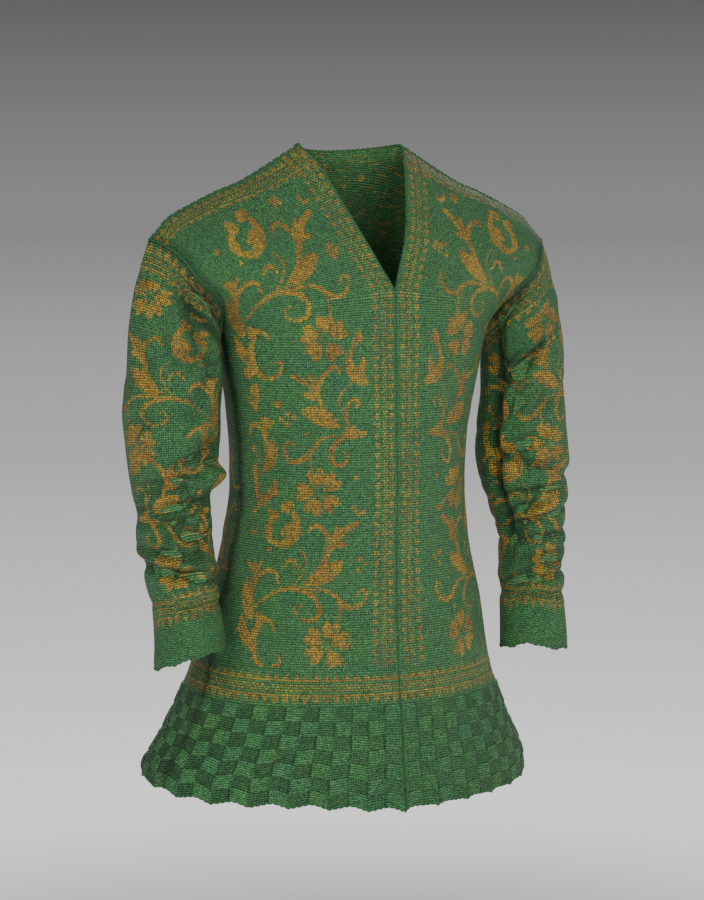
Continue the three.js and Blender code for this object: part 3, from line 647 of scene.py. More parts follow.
# Silk yarn, hand-knitted in two colours: the eye sees rows of small lit Vs with dark gaps, gold yarn
# that breaks up into stitches at the edges of each flower, and a dye that varies from skein to skein.
def knittedSilk(name, reverse):
    material, add = newMaterial(name)
    stitches = add("UVMap", uv_map="stitches")
    uv = add("SeparateXYZ", stitches)
    u, v = uv.outputs[0], uv.outputs[1]
    yarn = add("Attribute", attribute_name="yarn")
    parts = add("SeparateColor", yarn.outputs["Color"])
    depth, chart, purl = parts.outputs[0], parts.outputs[1], parts.outputs[2]
    toneAndShade = yarn.outputs["Alpha"]
    place = add("TexCoord").outputs["Object"]

    # a knit stitch is a V of two legs, a purl stitch a short arch; both fill one unit of the map
    fullTurn = 2 * math.pi
    aside = add("Math", add("Math", u, operation="FRACT"), 0.5, operation="SUBTRACT")
    leg = add("Math", aside, operation="ABSOLUTE")
    knitRow = add("Math", v, add("Math", leg, silk["slant"], operation="MULTIPLY"), operation="SUBTRACT")
    row = add("Math", add("Math", knitRow, fullTurn, math.pi, operation="MULTIPLY_ADD"), operation="COSINE")
    across = add("Math", add("Math", u, fullTurn, math.pi, operation="MULTIPLY_ADD"), operation="COSINE")
    twoLegs = add("Math", add("Math", u, fullTurn, operation="MULTIPLY"), operation="SINE")
    twoLegs = add("Math", twoLegs, operation="ABSOLUTE")
    fullness = add("Math", across, *stitchForm["knitAcross"], operation="MULTIPLY_ADD")
    fullness = add("Math", twoLegs, stitchForm["knitLegs"], fullness, operation="MULTIPLY_ADD")
    knitHeight = add("Math", row, *stitchForm["knitRow"], operation="MULTIPLY_ADD")
    knitHeight = add("Math", fullness, knitHeight, operation="MULTIPLY")
    arch = add("Math", across, stitchForm["purlArch"], v, operation="MULTIPLY_ADD")
    bump = add("Math", add("Math", arch, fullTurn, math.pi, operation="MULTIPLY_ADD"), operation="COSINE")
    bump = add("Math", bump, *stitchForm["purlRow"], operation="MULTIPLY_ADD")
    middle = add("Math", across, *stitchForm["purlAcross"], operation="MULTIPLY_ADD")
    purlHeight = add("Math", bump, middle, operation="MULTIPLY")
    height = add("Mix", named={0: purl, 2: knitHeight, 3: purlHeight})
    grain = 1 / (silk["fibre"] * mm)
    fibre = add("TexNoise", named={"Vector": place, "Scale": grain, "Detail": 3.0})
    rough = add("Math", height, stitchForm["fibreMean"], operation="SUBTRACT")
    rough = add("Math", fibre, stitchForm["fibre"], rough, operation="MULTIPLY_ADD")

    # two chances for each stitch: how far a flower reaches over it, and how much of its gold shows
    cell = add("CombineXYZ", add("Math", u, operation="FLOOR"), add("Math", knitRow, operation="FLOOR"))
    chances = add("TexWhiteNoise", named={"Vector": cell}, noise_dimensions="2D").outputs["Color"]
    chances = add("SeparateColor", chances)
    reaching, showing = chances.outputs[1], chances.outputs[2]
    # each stitch is four short lengths of thread that catch the light unlike
    halfU = add("Math", add("Math", u, 2, operation="MULTIPLY"), operation="FLOOR")
    halfRow = add("Math", add("Math", knitRow, 2, operation="MULTIPLY"), operation="FLOOR")
    thread = add("CombineXYZ", halfU, halfRow)
    lighter = add("TexWhiteNoise", named={"Vector": thread}, noise_dimensions="2D").outputs["Value"]

    # gold where the point lies inside a flower's stroke, pushed in and out by the stitches
    push = add("Math", reaching, 0.5, operation="SUBTRACT")
    push = add("Math", push, silk["ragged"], rough, operation="MULTIPLY_ADD")
    push = add("Math", push, stitchForm["mean"], operation="SUBTRACT")
    edge = add("Math", depth, push, operation="ADD")
    inMotif = add("MapRange", edge, -silk["blur"], silk["blur"], interpolation_type="SMOOTHSTEP")
    inMotif = add("Math", inMotif, silk["solidGold"], operation="MULTIPLY")
    inBand = add("Math", chart, silk["bandGold"], operation="MULTIPLY")
    goldShare = add("Math", inMotif, inBand, operation="MAXIMUM")
    stitchTop = add("MapRange", rough, *stitchForm["goldUp"])
    low, high = 0.6 * silk["missed"], 1.6 * silk["missed"]       # some are only half covered
    covered = add("MapRange", showing, low, high, silk["missedGold"], 1.0)
    goldShare = add("Math", goldShare, stitchTop, operation="MULTIPLY")
    goldShare = add("Math", goldShare, covered, operation="MULTIPLY")
    if reverse:              # the gold yarn is carried behind the flowers as broken floats
        stretch = add("Mapping", named={0: stitches, 3: stitchForm["floatStretch"]})
        floats = add("TexNoise", named={"Vector": stretch, "Scale": 1.0, "Detail": 3.0})
        goldShare = add("MapRange", floats, *stitchForm["floats"])

    dye = add("TexNoise", named={"Vector": place, "Scale": 1 / (silk["skein"] * mm), "Detail": 6.0})
    greens = {0: add("MapRange", dye, 0.3, 0.75), 6: linear(silk["green"]), 7: linear(silk["tealGreen"])}
    skein = add("Mix", named=greens, data_type="RGBA").outputs[2]
    # the green deepens with the tone: its random part, and painted shade in creases, seams and sunk blocks
    deepShare = add("Math", toneAndShade, silk["deep"], operation="MULTIPLY")
    greens = {0: deepShare, 6: skein, 7: linear(silk["deepGreen"])}
    green = add("Mix", named=greens, data_type="RGBA").outputs[2]
    worn = add("TexNoise", named={"Vector": place, "Scale": 1 / (silk["worn"] * mm), "Detail": 3.0})
    worn = add("Math", worn, 0.5, operation="SUBTRACT")
    rusty = add("Math", reaching, silk["rustyStitches"], operation="MULTIPLY")
    rusty = add("Math", worn, silk["rustyPlaces"], rusty, operation="MULTIPLY_ADD")
    golds = {0: rusty, 6: linear(silk["gold"]), 7: linear(silk["rust"])}
    gold = add("Mix", named=golds, data_type="RGBA").outputs[2]
    dyed = add("Mix", named={0: goldShare, 6: green, 7: gold}, data_type="RGBA").outputs[2]

    # light on each thread, and how much of it reaches the cloth's hidden places
    shade = add("MapRange", rough, 0.0, 0.75, silk["groove"], silk["top"])
    byThread = add("Math", lighter, silk["uneven"], 1 - silk["uneven"] / 2, operation="MULTIPLY_ADD")
    shade = add("Math", shade, byThread, operation="MULTIPLY")
    hidden = add("MapRange", toneAndShade, 0.1, 2.0, silk["lightest"], silk["darkest"])
    shade = add("Math", shade, hidden, operation="MULTIPLY")
    lit = add("VectorMath", named={0: dyed, "Scale": shade}, operation="SCALE")
    relief = {"Height": rough, "Distance": silk["relief"] * mm, "Strength": silk["bump"]}
    finishSilk(add, lit, add("Bump", named=relief))
    return material


# The selvedges and seams are single plaits of the same silk, so they show as a row of small links.
def plaitedSilk(name):
    material, add = newMaterial(name)
    place = add("TexCoord").outputs["Object"]
    dye = add("TexNoise", named={"Vector": place, "Scale": 1 / (silk["plaitDye"] * mm), "Detail": 4.0})
    fibre = add("TexNoise", named={"Vector": place, "Scale": 1 / (silk["plaitFibre"] * mm), "Detail": 2.0})
    greens = {0: dye, 6: linear(silk["edge"]), 7: linear(silk["deepGreen"])}
    green = add("Mix", named=greens, data_type="RGBA").outputs[2]
    relief = {"Height": fibre, "Distance": silk["plaitRelief"] * mm, "Strength": silk["plaitBump"]}
    finishSilk(add, green, add("Bump", named=relief))
    return material


# What both have in common: silk's soft gloss, and a faint sheen from loose filaments.
def finishSilk(add, colour, bumped):
    shader = add("BsdfPrincipled", named={
        "Base Color": colour, "Roughness": silk["roughness"], "IOR": silk["ior"], "Normal": bumped,
        "Specular IOR Level": silk["gloss"],
        "Sheen Weight": silk["sheen"], "Sheen Roughness": silk["sheenRoughness"],
    })
    add("OutputMaterial", shader)


knitMaterials = [knittedSilk("two_colour_knitted_silk", False), knittedSilk("knitted_silk_reverse", True)]
plaitMaterial = plaitedSilk("plaited_silk_edge")
chance = np.random.default_rng(17)
print("materials are made")

bands = {
    "stripes": len(stripeChart), "hemPlain": 1, "shoulderPlain": 2, "armhole": 1,     # stitch rows
    "edge": 30,              # width of the bands beside the front edge
    "cuff": 36, "cuffPurl": 34,      # height of the plain cuff, and of the purl on it
    "clear": 3, "sleeveClear": 2,    # rows beside a band that no flower reaches
}
seamRidges = {"height": 0.8, "pitch": 5.2, "reach": 11}

# How dark a stitch is, from 0 for one in the light to 2 for one deep in a crease: the yarn's random tone
# and painted shade.
panelTone = {
    "chance": 0.3, "body": 0.25,
    # painted light on the raised purl blocks and painted shade on the sunk knit blocks
    "purlBlock": 0.42, "purlOutward": -0.26,     # the blocks stand out more towards the side seams,
    "knitBlock": 0.52, "knitOutward": 0.4,       # where the skirt turns from the light
    "blockEdge": 0.4,        # more painted shade on the first stitch of a block, in the shade of its neighbour
    # painted shade in the side seam's crevice, over seamReach millimetres from it
    "seam": 0.8, "seamReach": 9, "darkest": 1.35,
}


# Rows of half a panel, with the share of its length and the stitch rows up to each.
def panelRows():
    skirtRows = skirt["blockRows"] * skirt["rowsInBlock"] * 2
    low = np.linspace(0, panelForm["skirtShare"], skirtRows + 1)
    body = np.linspace(panelForm["skirtShare"], panelForm["armpitShare"], panelForm["bodyRows"] + 1)[1:]
    top = np.linspace(panelForm["armpitShare"], 1, panelForm["upperRows"] + 1)[1:]
    up = np.concatenate([low, body, top])
    overSkirt = skirtRows / 2 + 1 + np.arange(len(body) + len(top))
    rowAt = np.concatenate([np.arange(skirtRows + 1) / 2, overSkirt])
    return up, rowAt, skirtRows


# Height of the basketweave, its purl ridges and the seam's ridges over the plain wall.
def panelRelief(along, up, blocks, toSide, rowAt):
    acrossBlocks = along * blocks
    upBlocks = up / panelForm["skirtShare"] * skirt["blockRows"]
    inSkirt = up < panelForm["skirtShare"]
    checker = skirt["steep"] * np.sin(np.pi * acrossBlocks) * np.sin(np.pi * upBlocks)
    checker = np.clip(checker, -1, 1)
    ridge = np.where(checker > 0, skirt["ridge"] * np.cos(2 * np.pi * rowAt), 0)
    relief = np.where(inSkirt, skirt["relief"] * (1 + checker) / 2 + ridge, 0)
    near = np.clip(1 - toSide / seamRidges["reach"], 0, 1)
    relief += seamRidges["height"] * np.sqrt(near) * np.cos(2 * np.pi * toSide / seamRidges["pitch"])
    return relief


def makePanel(name, side, fromBack, places):
    blocks = skirt["backBlocks"] if fromBack else skirt["frontBlocks"]
    columns = blocks * skirt["stitchesAcross"]
    up, rowAt, skirtRows = panelRows()
    halves = (-1, 1) if fromBack else (side,)
    grids = []
    for half in halves:
        along, high = np.meshgrid(np.linspace(0, 1, columns + 1), up)
        base = panelPoint(half, along, high, fromBack)
        toCentre = gridLength(base, 1)
        grids.append({
            "base": base, "along": along, "high": high, "toCentre": toCentre,
            "across": np.abs(base[:, :1, 0]) + toCentre, "toSide": toCentre[:, -1:] - toCentre,
            "toTop": gridLength(base[::-1], 0)[::-1],
        })
    joined = grids[0]
    if fromBack:
        for key, left in grids[1].items():
            joined[key] = np.concatenate([joined[key][:, ::-1], left[:, 1:]], 1)
    flip = fromBack or side < 0
    normal = gridNormals(joined["base"], -1 if flip else 1)
    relief = panelRelief(joined["along"], joined["high"], blocks, joined["toSide"], rowAt[:, None])
    relief += unevenness(joined["base"]) * np.minimum(1, joined["toTop"] / uneven["calm"])
    outside = joined["base"] + normal * relief[..., None]
    inside = joined["base"] - normal * cloth["wall"]

    def cellsOf(key):
        return (joined[key][:-1, :-1] + joined[key][1:, 1:]) / 2

    row = np.arange(len(up) - 1)[:, None]
    column = np.floor(cellsOf("along") * columns).astype(int)
    depth = drawMotifs(places, joined["across"], joined["base"][..., 2])
    bandRows = skirtRows + bands["hemPlain"] + bands["stripes"]
    fromTop = len(up) - 2 - row - bands["shoulderPlain"]
    chart = chartCells(stripeChart, row - skirtRows - bands["hemPlain"], column)
    onShoulder = joined["along"] > (panelForm["backNeckShare"] if fromBack else 0)
    chart |= chartCells(stripeChart, fromTop + 0 * column, column) & onShoulder[:-1, :-1]
    quiet = np.arange(len(up))[:, None] < bandRows + bands["clear"]
    quiet = quiet | (joined["toTop"] < (bands["stripes"] + bands["clear"]) * cloth["stitchRow"])
    if not fromBack:
        alongEdge = (row > bandRows + 1) & (row < len(up) - 1)
        chart |= chartCells(edgeColumns, column - (side > 0), row) & alongEdge
        quiet = quiet | (joined["toCentre"] < bands["edge"])
    depth = np.where(quiet, farOutside, depth)
    blockColumn = np.floor(cellsOf("along") * blocks).astype(int)
    blockRow = row // (2 * skirt["rowsInBlock"])
    purl = (row < skirtRows) & ((blockColumn + blockRow) % 2 == 0)
    outward = joined["along"][:-1, :-1]
    # painted light and shade of the skirt's blocks
    purlPaintedShade = panelTone["purlBlock"] + panelTone["purlOutward"] * outward
    knitPaintedShade = panelTone["knitBlock"] + panelTone["knitOutward"] * outward
    toneAndShade = chance.random(chart.shape) * panelTone["chance"]
    toneAndShade += np.where(row < skirtRows, np.where(purl, purlPaintedShade, knitPaintedShade), panelTone["body"])
    # painted shade on a block's first stitch
    toneAndShade += panelTone["blockEdge"] * ((row < skirtRows) & (column % skirt["stitchesAcross"] == 0))
    # painted shade along the side seam
    toneAndShade += panelTone["seam"] * np.clip(1 - cellsOf("toSide") / panelTone["seamReach"], 0, 1)
    toneAndShade = np.minimum(toneAndShade, panelTone["darkest"])
    yarn = {"depth": depth, "chart": chart, "purl": purl, "toneAndShade": toneAndShade}
    panel = wallObject(name + "_knit", outside, inside, rowAt, yarn, False, flip, knitMaterials)
    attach(panel, "root")
    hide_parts(name)
    return panel, outside, normal


sleeveForm = {
    "head": -225,            # below this height a sleeve is a plain tube
    "depth": 1.04, "around": 128, "armRows": 120, "headRows": 54,
    "outUnderArm": 0.1, "outAtTop": 0.38, "fallAtTop": 0.92, "reach": 0.36,
    "foldDepth": 1.8,        # the cloth's creases are deeper than the plain form's
    "darkAt": 4,             # depth of a narrow crease at which its shade is full
    "narrow": 5, "wideShade": 0.45,     # width under which a crease is narrow; shade of a wider one
    "headRadius": (47, 43),  # radius on which the sleeve head's folds are measured, right and left
    "calm": 3,               # the folds die down over the last part of the head, one in so many
    "gapDown": 0.5, "gapOut": 0.5,
    "scallops": 9, "scallopDepth": 2.2, "notchTurn": 26,
    "unroll": 40,            # radius on which the flowers' places are measured
}
# crease and seam add painted shade: in the folds' troughs and beside the armhole seam
sleeveTone = {"chance": 0.3, "cuff": 0.56, "arm": 0.36, "crease": 1.3, "seam": 0.9, "seamReach": 6}
cuffs = {                    # one cuff's edge has a notch, where it rises most
    -1: {"height": -498, "tilt": 11, "rises": 130, "notch": 0},
    1: {"height": -513, "tilt": 2.5, "rises": 130, "notch": 6},
}
# z, x, y, half width on the right, half width on the left
sleeveOvals = curveTable([
    (-520, 192, -39, 36.5, 34.5), (-500, 192.3, -37, 35.5, 34), (-450, 193.3, -31, 33.3, 33.2),
    (-425, 196, -26, 35, 34.2), (-400, 198.6, -20, 37, 34.7), (-375, 199, -13, 37.2, 38.5),
    (-350, 198, -8, 37.8, 44.5), (-325, 197.5, -5, 41, 48), (-300, 196.2, -3, 45, 47.5),
    (-270, 196.6, -4, 47.6, 45), (-250, 196.5, -5, 47.8, 43), (-200, 192, -9, 46, 41.5),
])
# Folds of each sleeve: z, turn round it from its outer side by the front, lean from level, half its
# length, its width, its height: below zero is a trough and above zero a ridge.
folds = {
    -1: [
        (-126, 92, -28, 34, 6, -3.5), (-140, 92, -32, 34, 6, 2.5), (-147, 92, -30, 36, 6, -3),
        (-180, 91, -58, 42, 7, -5.5), (-176, 112, -58, 34, 8, 3.5), (-203, 84, -52, 20, 7, -2.5),
        (-212, 25, -73, 30, 8, -2), (-259, 84, -10, 14, 7, -2), (-291, 124, -8, 18, 7, -4.5),
        (-268, 26, 0, 18, 8, -2.5), (-311, 77, 27, 14, 6, 2), (-321, 150, -10, 20, 11, 6.5),
        (-333, 85, -45, 16, 6, -3), (-349, 68, 0, 14, 7, -2.5), (-353, 126, 32, 20, 7, -5),
        (-372, 84, -14, 18, 6, -4.5), (-380, 92, 25, 14, 5, -2.5), (-387, 118, 40, 20, 6, -3.5),
        (-400, 62, -10, 44, 6, 2.6), (-410, 58, -9, 54, 5.5, -4.5), (-453, 85, 8, 12, 6, -1.2),
        (-345, 235, -18, 22, 7, -4), (-372, 262, 22, 26, 7, -4.5), (-318, 280, -25, 24, 8, -3),
        (-392, 225, -30, 22, 6, -3.5), (-412, 300, 8, 30, 6, -3), (-262, 240, -40, 26, 8, -3),
        (-215, 235, 48, 32, 8, -3.5), (-360, 330, 15, 20, 8, -2),
        # narrow creases
        (-300, 95, 20, 26, 4, -2.6), (-322, 70, 8, 34, 4, -2.4), (-345, 100, 10, 30, 4, -3.2),
        (-362, 75, 5, 40, 4, -2.8), (-378, 95, 0, 34, 4, -2.6), (-392, 55, -6, 40, 4, -2.4),
        (-404, 80, -8, 50, 5, 2.8), (-414, 80, -8, 52, 4, -3.4), (-335, 40, 10, 26, 4, -2),
        (-352, 18, -5, 26, 4, -2.2), (-250, 102, 60, 26, 5, -2.4), (-225, 112, 50, 26, 5, -2.6),
        (-170, 100, -42, 36, 4.5, -4.2), (-195, 58, -60, 30, 6, -1.8), (-443, 80, 0, 90, 4, -1.2),
        (-176, 148, 80, 24, 4.5, -4), (-152, 104, -38, 42, 4.5, -4.4), (-222, 150, 84, 60, 4.5, -3),
        (-306, 128, -6, 20, 4, -3.5), (-300, 250, 12, 30, 4, -2.4), (-336, 262, -8, 34, 4, -2.8),
        (-383, 240, 6, 34, 4, -2.6),
    ],
    1: [
        (-141, 117, -42, 34, 6, -3.5), (-150, 120, -42, 34, 6, 2.5), (-160, 122, -42, 38, 6, -3.5),
        (-222, 120, -45, 38, 6, -5.5), (-219, 131, -45, 24, 5, 2.5), (-221, 142, -45, 18, 6, -3.5),
        (-258, 128, -78, 42, 6, -2.5), (-260, 92, -45, 18, 7, -2.5), (-307, 127, -26, 30, 7, -5.5),
        (-240, 166, -88, 58, 6, -3.5), (-338, 160, -84, 50, 6, -4), (-402, 159, -86, 26, 5, -3),
        (-331, 100, 0, 16, 6, 2), (-369, 126, -21, 28, 6, -5.5), (-380, 118, -21, 24, 6, 2.5),
        (-391, 139, -41, 17, 6, -4.5), (-418, 106, -20, 30, 6, 2.4), (-431, 125, -31, 24, 5.5, -4.5),
        (-422, 66, 4, 30, 5.5, -3.8), (-335, 30, 0, 18, 6, -3.5), (-430, 30, 3, 18, 5, -2.2),
        (-350, 238, 20, 24, 7, -4), (-377, 265, -18, 26, 7, -4.5), (-322, 290, 24, 24, 8, -3),
        (-396, 222, 32, 22, 6, -3.5), (-420, 300, -6, 30, 6, -3), (-268, 245, 38, 26, 8, -3),
        (-218, 238, -46, 32, 8, -3.5), (-365, 335, -12, 20, 8, -2),
        # narrow creases
        (-225, 157, -86, 40, 4, -3), (-290, 157, -90, 40, 4, -3.6), (-345, 156, -95, 34, 4, -3.6),
        (-395, 161, -80, 26, 4, -2.8), (-290, 142, -90, 60, 7, 2), (-322, 110, 14, 30, 4, -2.6),
        (-350, 100, -6, 42, 4, -3.2), (-368, 100, -12, 46, 5, 2.6), (-378, 100, -12, 46, 3.6, -3.2),
        (-397, 92, -8, 44, 4, -2.8), (-414, 84, -10, 36, 4, -2.2), (-429, 95, -8, 48, 5, 2.6),
        (-439, 95, -8, 48, 4, -2.8), (-456, 90, 0, 90, 4, -1.6), (-216, 108, -40, 50, 4.5, -2.6),
        (-182, 151, -84, 26, 4.5, -4.5), (-166, 130, -46, 34, 4, -3), (-230, 152, -88, 70, 4.5, -3),
        (-204, 102, -40, 50, 6, 2.2), (-269, 134, -40, 26, 5, -2.6), (-255, 60, -30, 26, 6, -1.8),
        (-300, 252, -12, 30, 4, -2.4), (-338, 262, 8, 34, 4, -2.8), (-386, 242, -6, 34, 4, -2.6),
    ],
}


# The height of the folds, and how deep in a crease a place lies, where little light comes.
def foldHeight(side, turn, z, half):
    height = 0
    shade = 0
    for foldZ, foldTurn, lean, length, width, rise in folds[side]:
        level = np.radians((turn - foldTurn + 540) % 360 - 180) * half
        above = z - foldZ
        lean = math.radians(lean)
        lengthwise = (level * math.cos(lean) + above * math.sin(lean)) / length
        crosswise = (above * math.cos(lean) - level * math.sin(lean)) / width
        bump = rise * np.exp(-lengthwise**2 - crosswise**2)
        height = height + bump
        darkness = 1 if width < sleeveForm["narrow"] else sleeveForm["wideShade"]
        shade = shade - np.minimum(bump, 0) * darkness
    return height * sleeveForm["foldDepth"], shade / sleeveForm["darkAt"]


# A point of a sleeve's tube below its head; folded 0 leaves its folds out.
def armPoint(side, turn, z, folded=1):
    x, y, halfRight, halfLeft = readTable(sleeveOvals, z)
    half = halfLeft if side > 0 else halfRight
    lift, shade = foldHeight(side, turn, z, half)
    lift = lift * folded
    radius, angle = half + lift, np.radians(turn)
    offX, offY = radius * np.cos(angle), -radius * sleeveForm["depth"] * np.sin(angle)
    return np.stack([x + offX, y + offY, z + 0 * turn], -1), shade


# A point of a sleeve's head, which curves from the plain tube up to the armhole's edge.
def headPoint(side, turn, up):
    foot = armPoint(side, turn, np.full_like(turn, sleeveForm["head"]), 0)[0]
    share = np.abs(180 - turn) / 180
    seam = np.where((turn <= 180)[..., None], np.moveaxis(readTable(frontArmhole, share), 0, -1),
                    np.moveaxis(readTable(backArmhole, share), 0, -1))
    top = (1 + np.cos(np.radians(turn))) / 2
    out = sleeveForm["outUnderArm"] + (sleeveForm["outAtTop"] - sleeveForm["outUnderArm"]) * top
    fall = 1 + (sleeveForm["fallAtTop"] - 1) * top
    leaving = np.stack([out, 0 * out, -fall], -1)
    leaving /= np.linalg.norm(leaving, axis=-1, keepdims=True)
    seam = seam + leaving * sleeveForm["gapDown"]
    seam[..., 0] += sleeveForm["gapOut"]
    reach = np.linalg.norm(foot - seam, axis=-1, keepdims=True) * sleeveForm["reach"]
    upright = foot + reach * np.array([0, 0, 1])
    hanging = seam + leaving * reach
    t = up[..., None]
    point = (1 - t)**3 * foot + 3 * (1 - t)**2 * t * upright + 3 * (1 - t) * t**2 * hanging + t**3 * seam
    nearSeam = np.sin(np.minimum(1, sleeveForm["calm"] * (1 - up)) * np.pi / 2)
    lift, shade = foldHeight(side, turn, point[..., 2], sleeveForm["headRadius"][side > 0])
    lift *= nearSeam
    point[..., 0] += lift * np.cos(np.radians(turn))
    point[..., 1] -= lift * np.sin(np.radians(turn))
    return point, shade


def makeSleeve(name, side):
    around, armRows, headRows = sleeveForm["around"], sleeveForm["armRows"], sleeveForm["headRows"]
    turn, row = np.meshgrid(np.arange(around) * 360 / around, np.arange(armRows + headRows + 1))
    turn = turn.astype(float)
    cuff = cuffs[side]
    arch = np.abs(np.sin(np.radians(turn) * sleeveForm["scallops"] / 2))
    edge = cuff["height"] + cuff["tilt"] * np.cos(np.radians(turn - cuff["rises"]))
    edge += sleeveForm["scallopDepth"] * arch
    edge += cuff["notch"] * np.exp(-((turn - cuff["rises"]) / sleeveForm["notchTurn"]) ** 2)
    z = edge + (sleeveForm["head"] - edge) * np.minimum(row / armRows, 1)
    inHead = np.clip((row - armRows) / headRows, 0, 1)
    arm, armShade = armPoint(side, turn, z)
    head, headShade = headPoint(side, turn, inHead)
    base = np.where((row > armRows)[..., None], head, arm)
    crease = np.where(row > armRows, headShade, armShade)[:-1]
    base[..., 0] *= side
    flip = side > 0
    normal = gridNormals(base, -1 if flip else 1, closed=True)
    toCuff = gridLength(base, 0)
    toSeam = toCuff[-1:] - toCuff
    across = np.radians(turn) * sleeveForm["unroll"]
    height = np.where(row > armRows, sleeveForm["head"] + toCuff - toCuff[armRows], z)   # along the cloth
    depth = drawMotifs(sleeveMotifs[side], across, height, wrap=2 * np.pi * sleeveForm["unroll"])
    stitch = cloth["stitchRow"]
    bandLow, bandTop = bands["cuff"], bands["armhole"] * stitch
    fromCuff = np.floor((toCuff[:-1] - bandLow) / stitch).astype(int)
    fromSeam = np.floor((toSeam[1:] - bandTop) / stitch).astype(int)
    column = np.arange(around)[None, :] + 0 * fromCuff
    chart = chartCells(stripeChart, fromCuff, column) | chartCells(stripeChart, fromSeam, column)
    reach = (bands["stripes"] + bands["sleeveClear"]) * stitch
    quiet = (toCuff < bandLow + reach) | (toSeam < bandTop + reach)
    depth = np.where(quiet, farOutside, depth)
    purl = toCuff[:-1] < bands["cuffPurl"]
    toneAndShade = chance.random(chart.shape) * sleeveTone["chance"]
    toneAndShade += np.where(purl, sleeveTone["cuff"], sleeveTone["arm"])
    # painted shade in the creases
    toneAndShade += np.minimum(crease, 1) * sleeveTone["crease"]
    # painted shade beside the armhole seam
    toneAndShade += sleeveTone["seam"] * np.clip(1 - toSeam[1:] / sleeveTone["seamReach"], 0, 1)
    yarn = {"depth": depth, "chart": chart, "purl": purl, "toneAndShade": toneAndShade}
    rowAt = np.arange(armRows + headRows + 1).astype(float)
    base = base + normal * (unevenness(base) * np.minimum(1, toSeam / uneven["calm"]))[..., None]
    inside = base - normal * cloth["wall"]
    sleeve = wallObject(name + "_knit", base, inside, rowAt, yarn, True, flip, knitMaterials)
    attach(sleeve, "root")
    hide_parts(name)
    return sleeve, base, normal


plaits = {
    "sides": 7, "step": 0.9, "swell": 0.28, "sway": 0.35,
    "sunk": 0.9, "armholeSunk": 0.6,     # a plait's middle lies this deep in the wall
    "inset": 0.65,           # how far in from the wall's own edge a selvedge lies, in stitches
    "kinds": {               # radius, length of a link
        "selvedge": (1.1, 2.6), "hem_edge": (1.2, 3), "cuff_edge": (1.2, 3), "neck_edge": (1.4, 2.6),
        "shoulder_seam": (1.5, 4.5), "armhole_seam": (1.1, 3),
    },
}


# A plait of silk along a line of a piece's wall: a tube whose links swell and sway from side to side.
def makePlait(piece, kind, line, out, sunk=plaits["sunk"]):
    name = piece + "_" + kind
    radius, pitch = plaits["kinds"][kind]
    line = line - out * sunk
    length = np.concatenate([[0], np.cumsum(np.linalg.norm(np.diff(line, axis=0), axis=1))])
    at = np.linspace(0, length[-1], max(int(length[-1] / plaits["step"]), 4))
    centre = np.stack([np.interp(at, length, line[:, i]) for i in range(3)], -1)
    outward = np.stack([np.interp(at, length, out[:, i]) for i in range(3)], -1)
    ahead = np.gradient(centre, axis=0)
    ahead /= np.linalg.norm(ahead, axis=1, keepdims=True)
    sideways = np.cross(ahead, outward)
    sideways /= np.linalg.norm(sideways, axis=1, keepdims=True)
    outward = np.cross(sideways, ahead)
    swell = radius * (1 + plaits["swell"] * np.cos(2 * np.pi * at / pitch))
    centre = centre + sideways * (plaits["sway"] * radius * np.sin(np.pi * at / pitch))[:, None]
    angle = np.arange(plaits["sides"]) * 2 * np.pi / plaits["sides"]
    ring = np.cos(angle)[:, None] * outward[:, None] + np.sin(angle)[:, None] * sideways[:, None]
    points = (centre[:, None] + ring * swell[:, None, None]).reshape(-1, 3)
    sides, count = plaits["sides"], len(at)
    faces = []
    for i in range(count - 1):
        for j in range(sides):
            k = (j + 1) % sides
            faces.append((i * sides + j, i * sides + k, (i + 1) * sides + k, (i + 1) * sides + j))
    faces.append(tuple(range(sides))[::-1])
    faces.append(tuple((count - 1) * sides + j for j in range(sides)))
    mesh = bpy.data.meshes.new(name)
    mesh.from_pydata((points * mm).tolist(), [], faces)
    mesh.polygons.foreach_set("use_smooth", np.ones(len(faces), bool))
    mesh.materials.append(plaitMaterial)
    mesh.update()
    plait = addObject(name, mesh)
    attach(plait, "root")
    return plait


studio = {
    "distance": 2800, "azimuth": -27, "eye": -50, "aim": (1.3, -0.7, -305), "lens": 112,
    "clip": (0.1, 400),      # metres between which the camera sees
    "floor": -900, "floorSize": 180000, "floorColour": "#E4E4E4",
    "goOver": (0.2, 1.2),     # metres from the jacket between which the paper's own light fades
    # greys of the paper's painted glow far away, by distance over the floor in metres, and of the air above
    # it
    "paperGlowGreys": ((1, 1.15), (2.5, 0.8), (6, 0.5), (25, 0.31), (50, 0.262), (90, 0.255)),
    "airGreys": ((0.5, 0.255), (0.535, 0.125), (0.6, 0.1), (1, 0.1)),   # by height, 0.5 is level
    "lamps": (                # name, place, size, watts
        ("key", (-2300, -2000, 900), 1400, 52), ("front", (-300, -2900, 400), 1300, 40),
        ("fill", (2500, -1300, 400), 1800, 19), ("top", (200, 300, 2200), 1500, 3),
        ("back", (1500, 2600, 900), 2000, 50),
    ),
}


# Matt paper, lit by the lamps near the jacket, that goes over into a painted glow, its grey falling with
# distance into the grey air: no edge to see.
def paperWithPaintedGlow():
    paper, add = newMaterial("paper_floor_painted_glow")
    place = add("TexCoord").outputs["Object"]
    away = add("VectorMath", place, operation="LENGTH").outputs["Value"]
    reach = math.log(studio["paperGlowGreys"][-1][0])
    share = add("Math", add("Math", away, math.e, operation="LOGARITHM"), reach, operation="DIVIDE")
    stops = [(math.log(metres) / reach, grey) for metres, grey in studio["paperGlowGreys"]]
    # painted light: far off, the paper glows with a grey that falls with distance
    far = add("Emission", add("ValToRGB", share, stops=stops))
    near = add("BsdfDiffuse", linear(studio["floorColour"]))
    goOver = add("MapRange", away, *studio["goOver"], interpolation_type="SMOOTHSTEP")
    add("OutputMaterial", add("MixShader", goOver, near, far))
    return paper


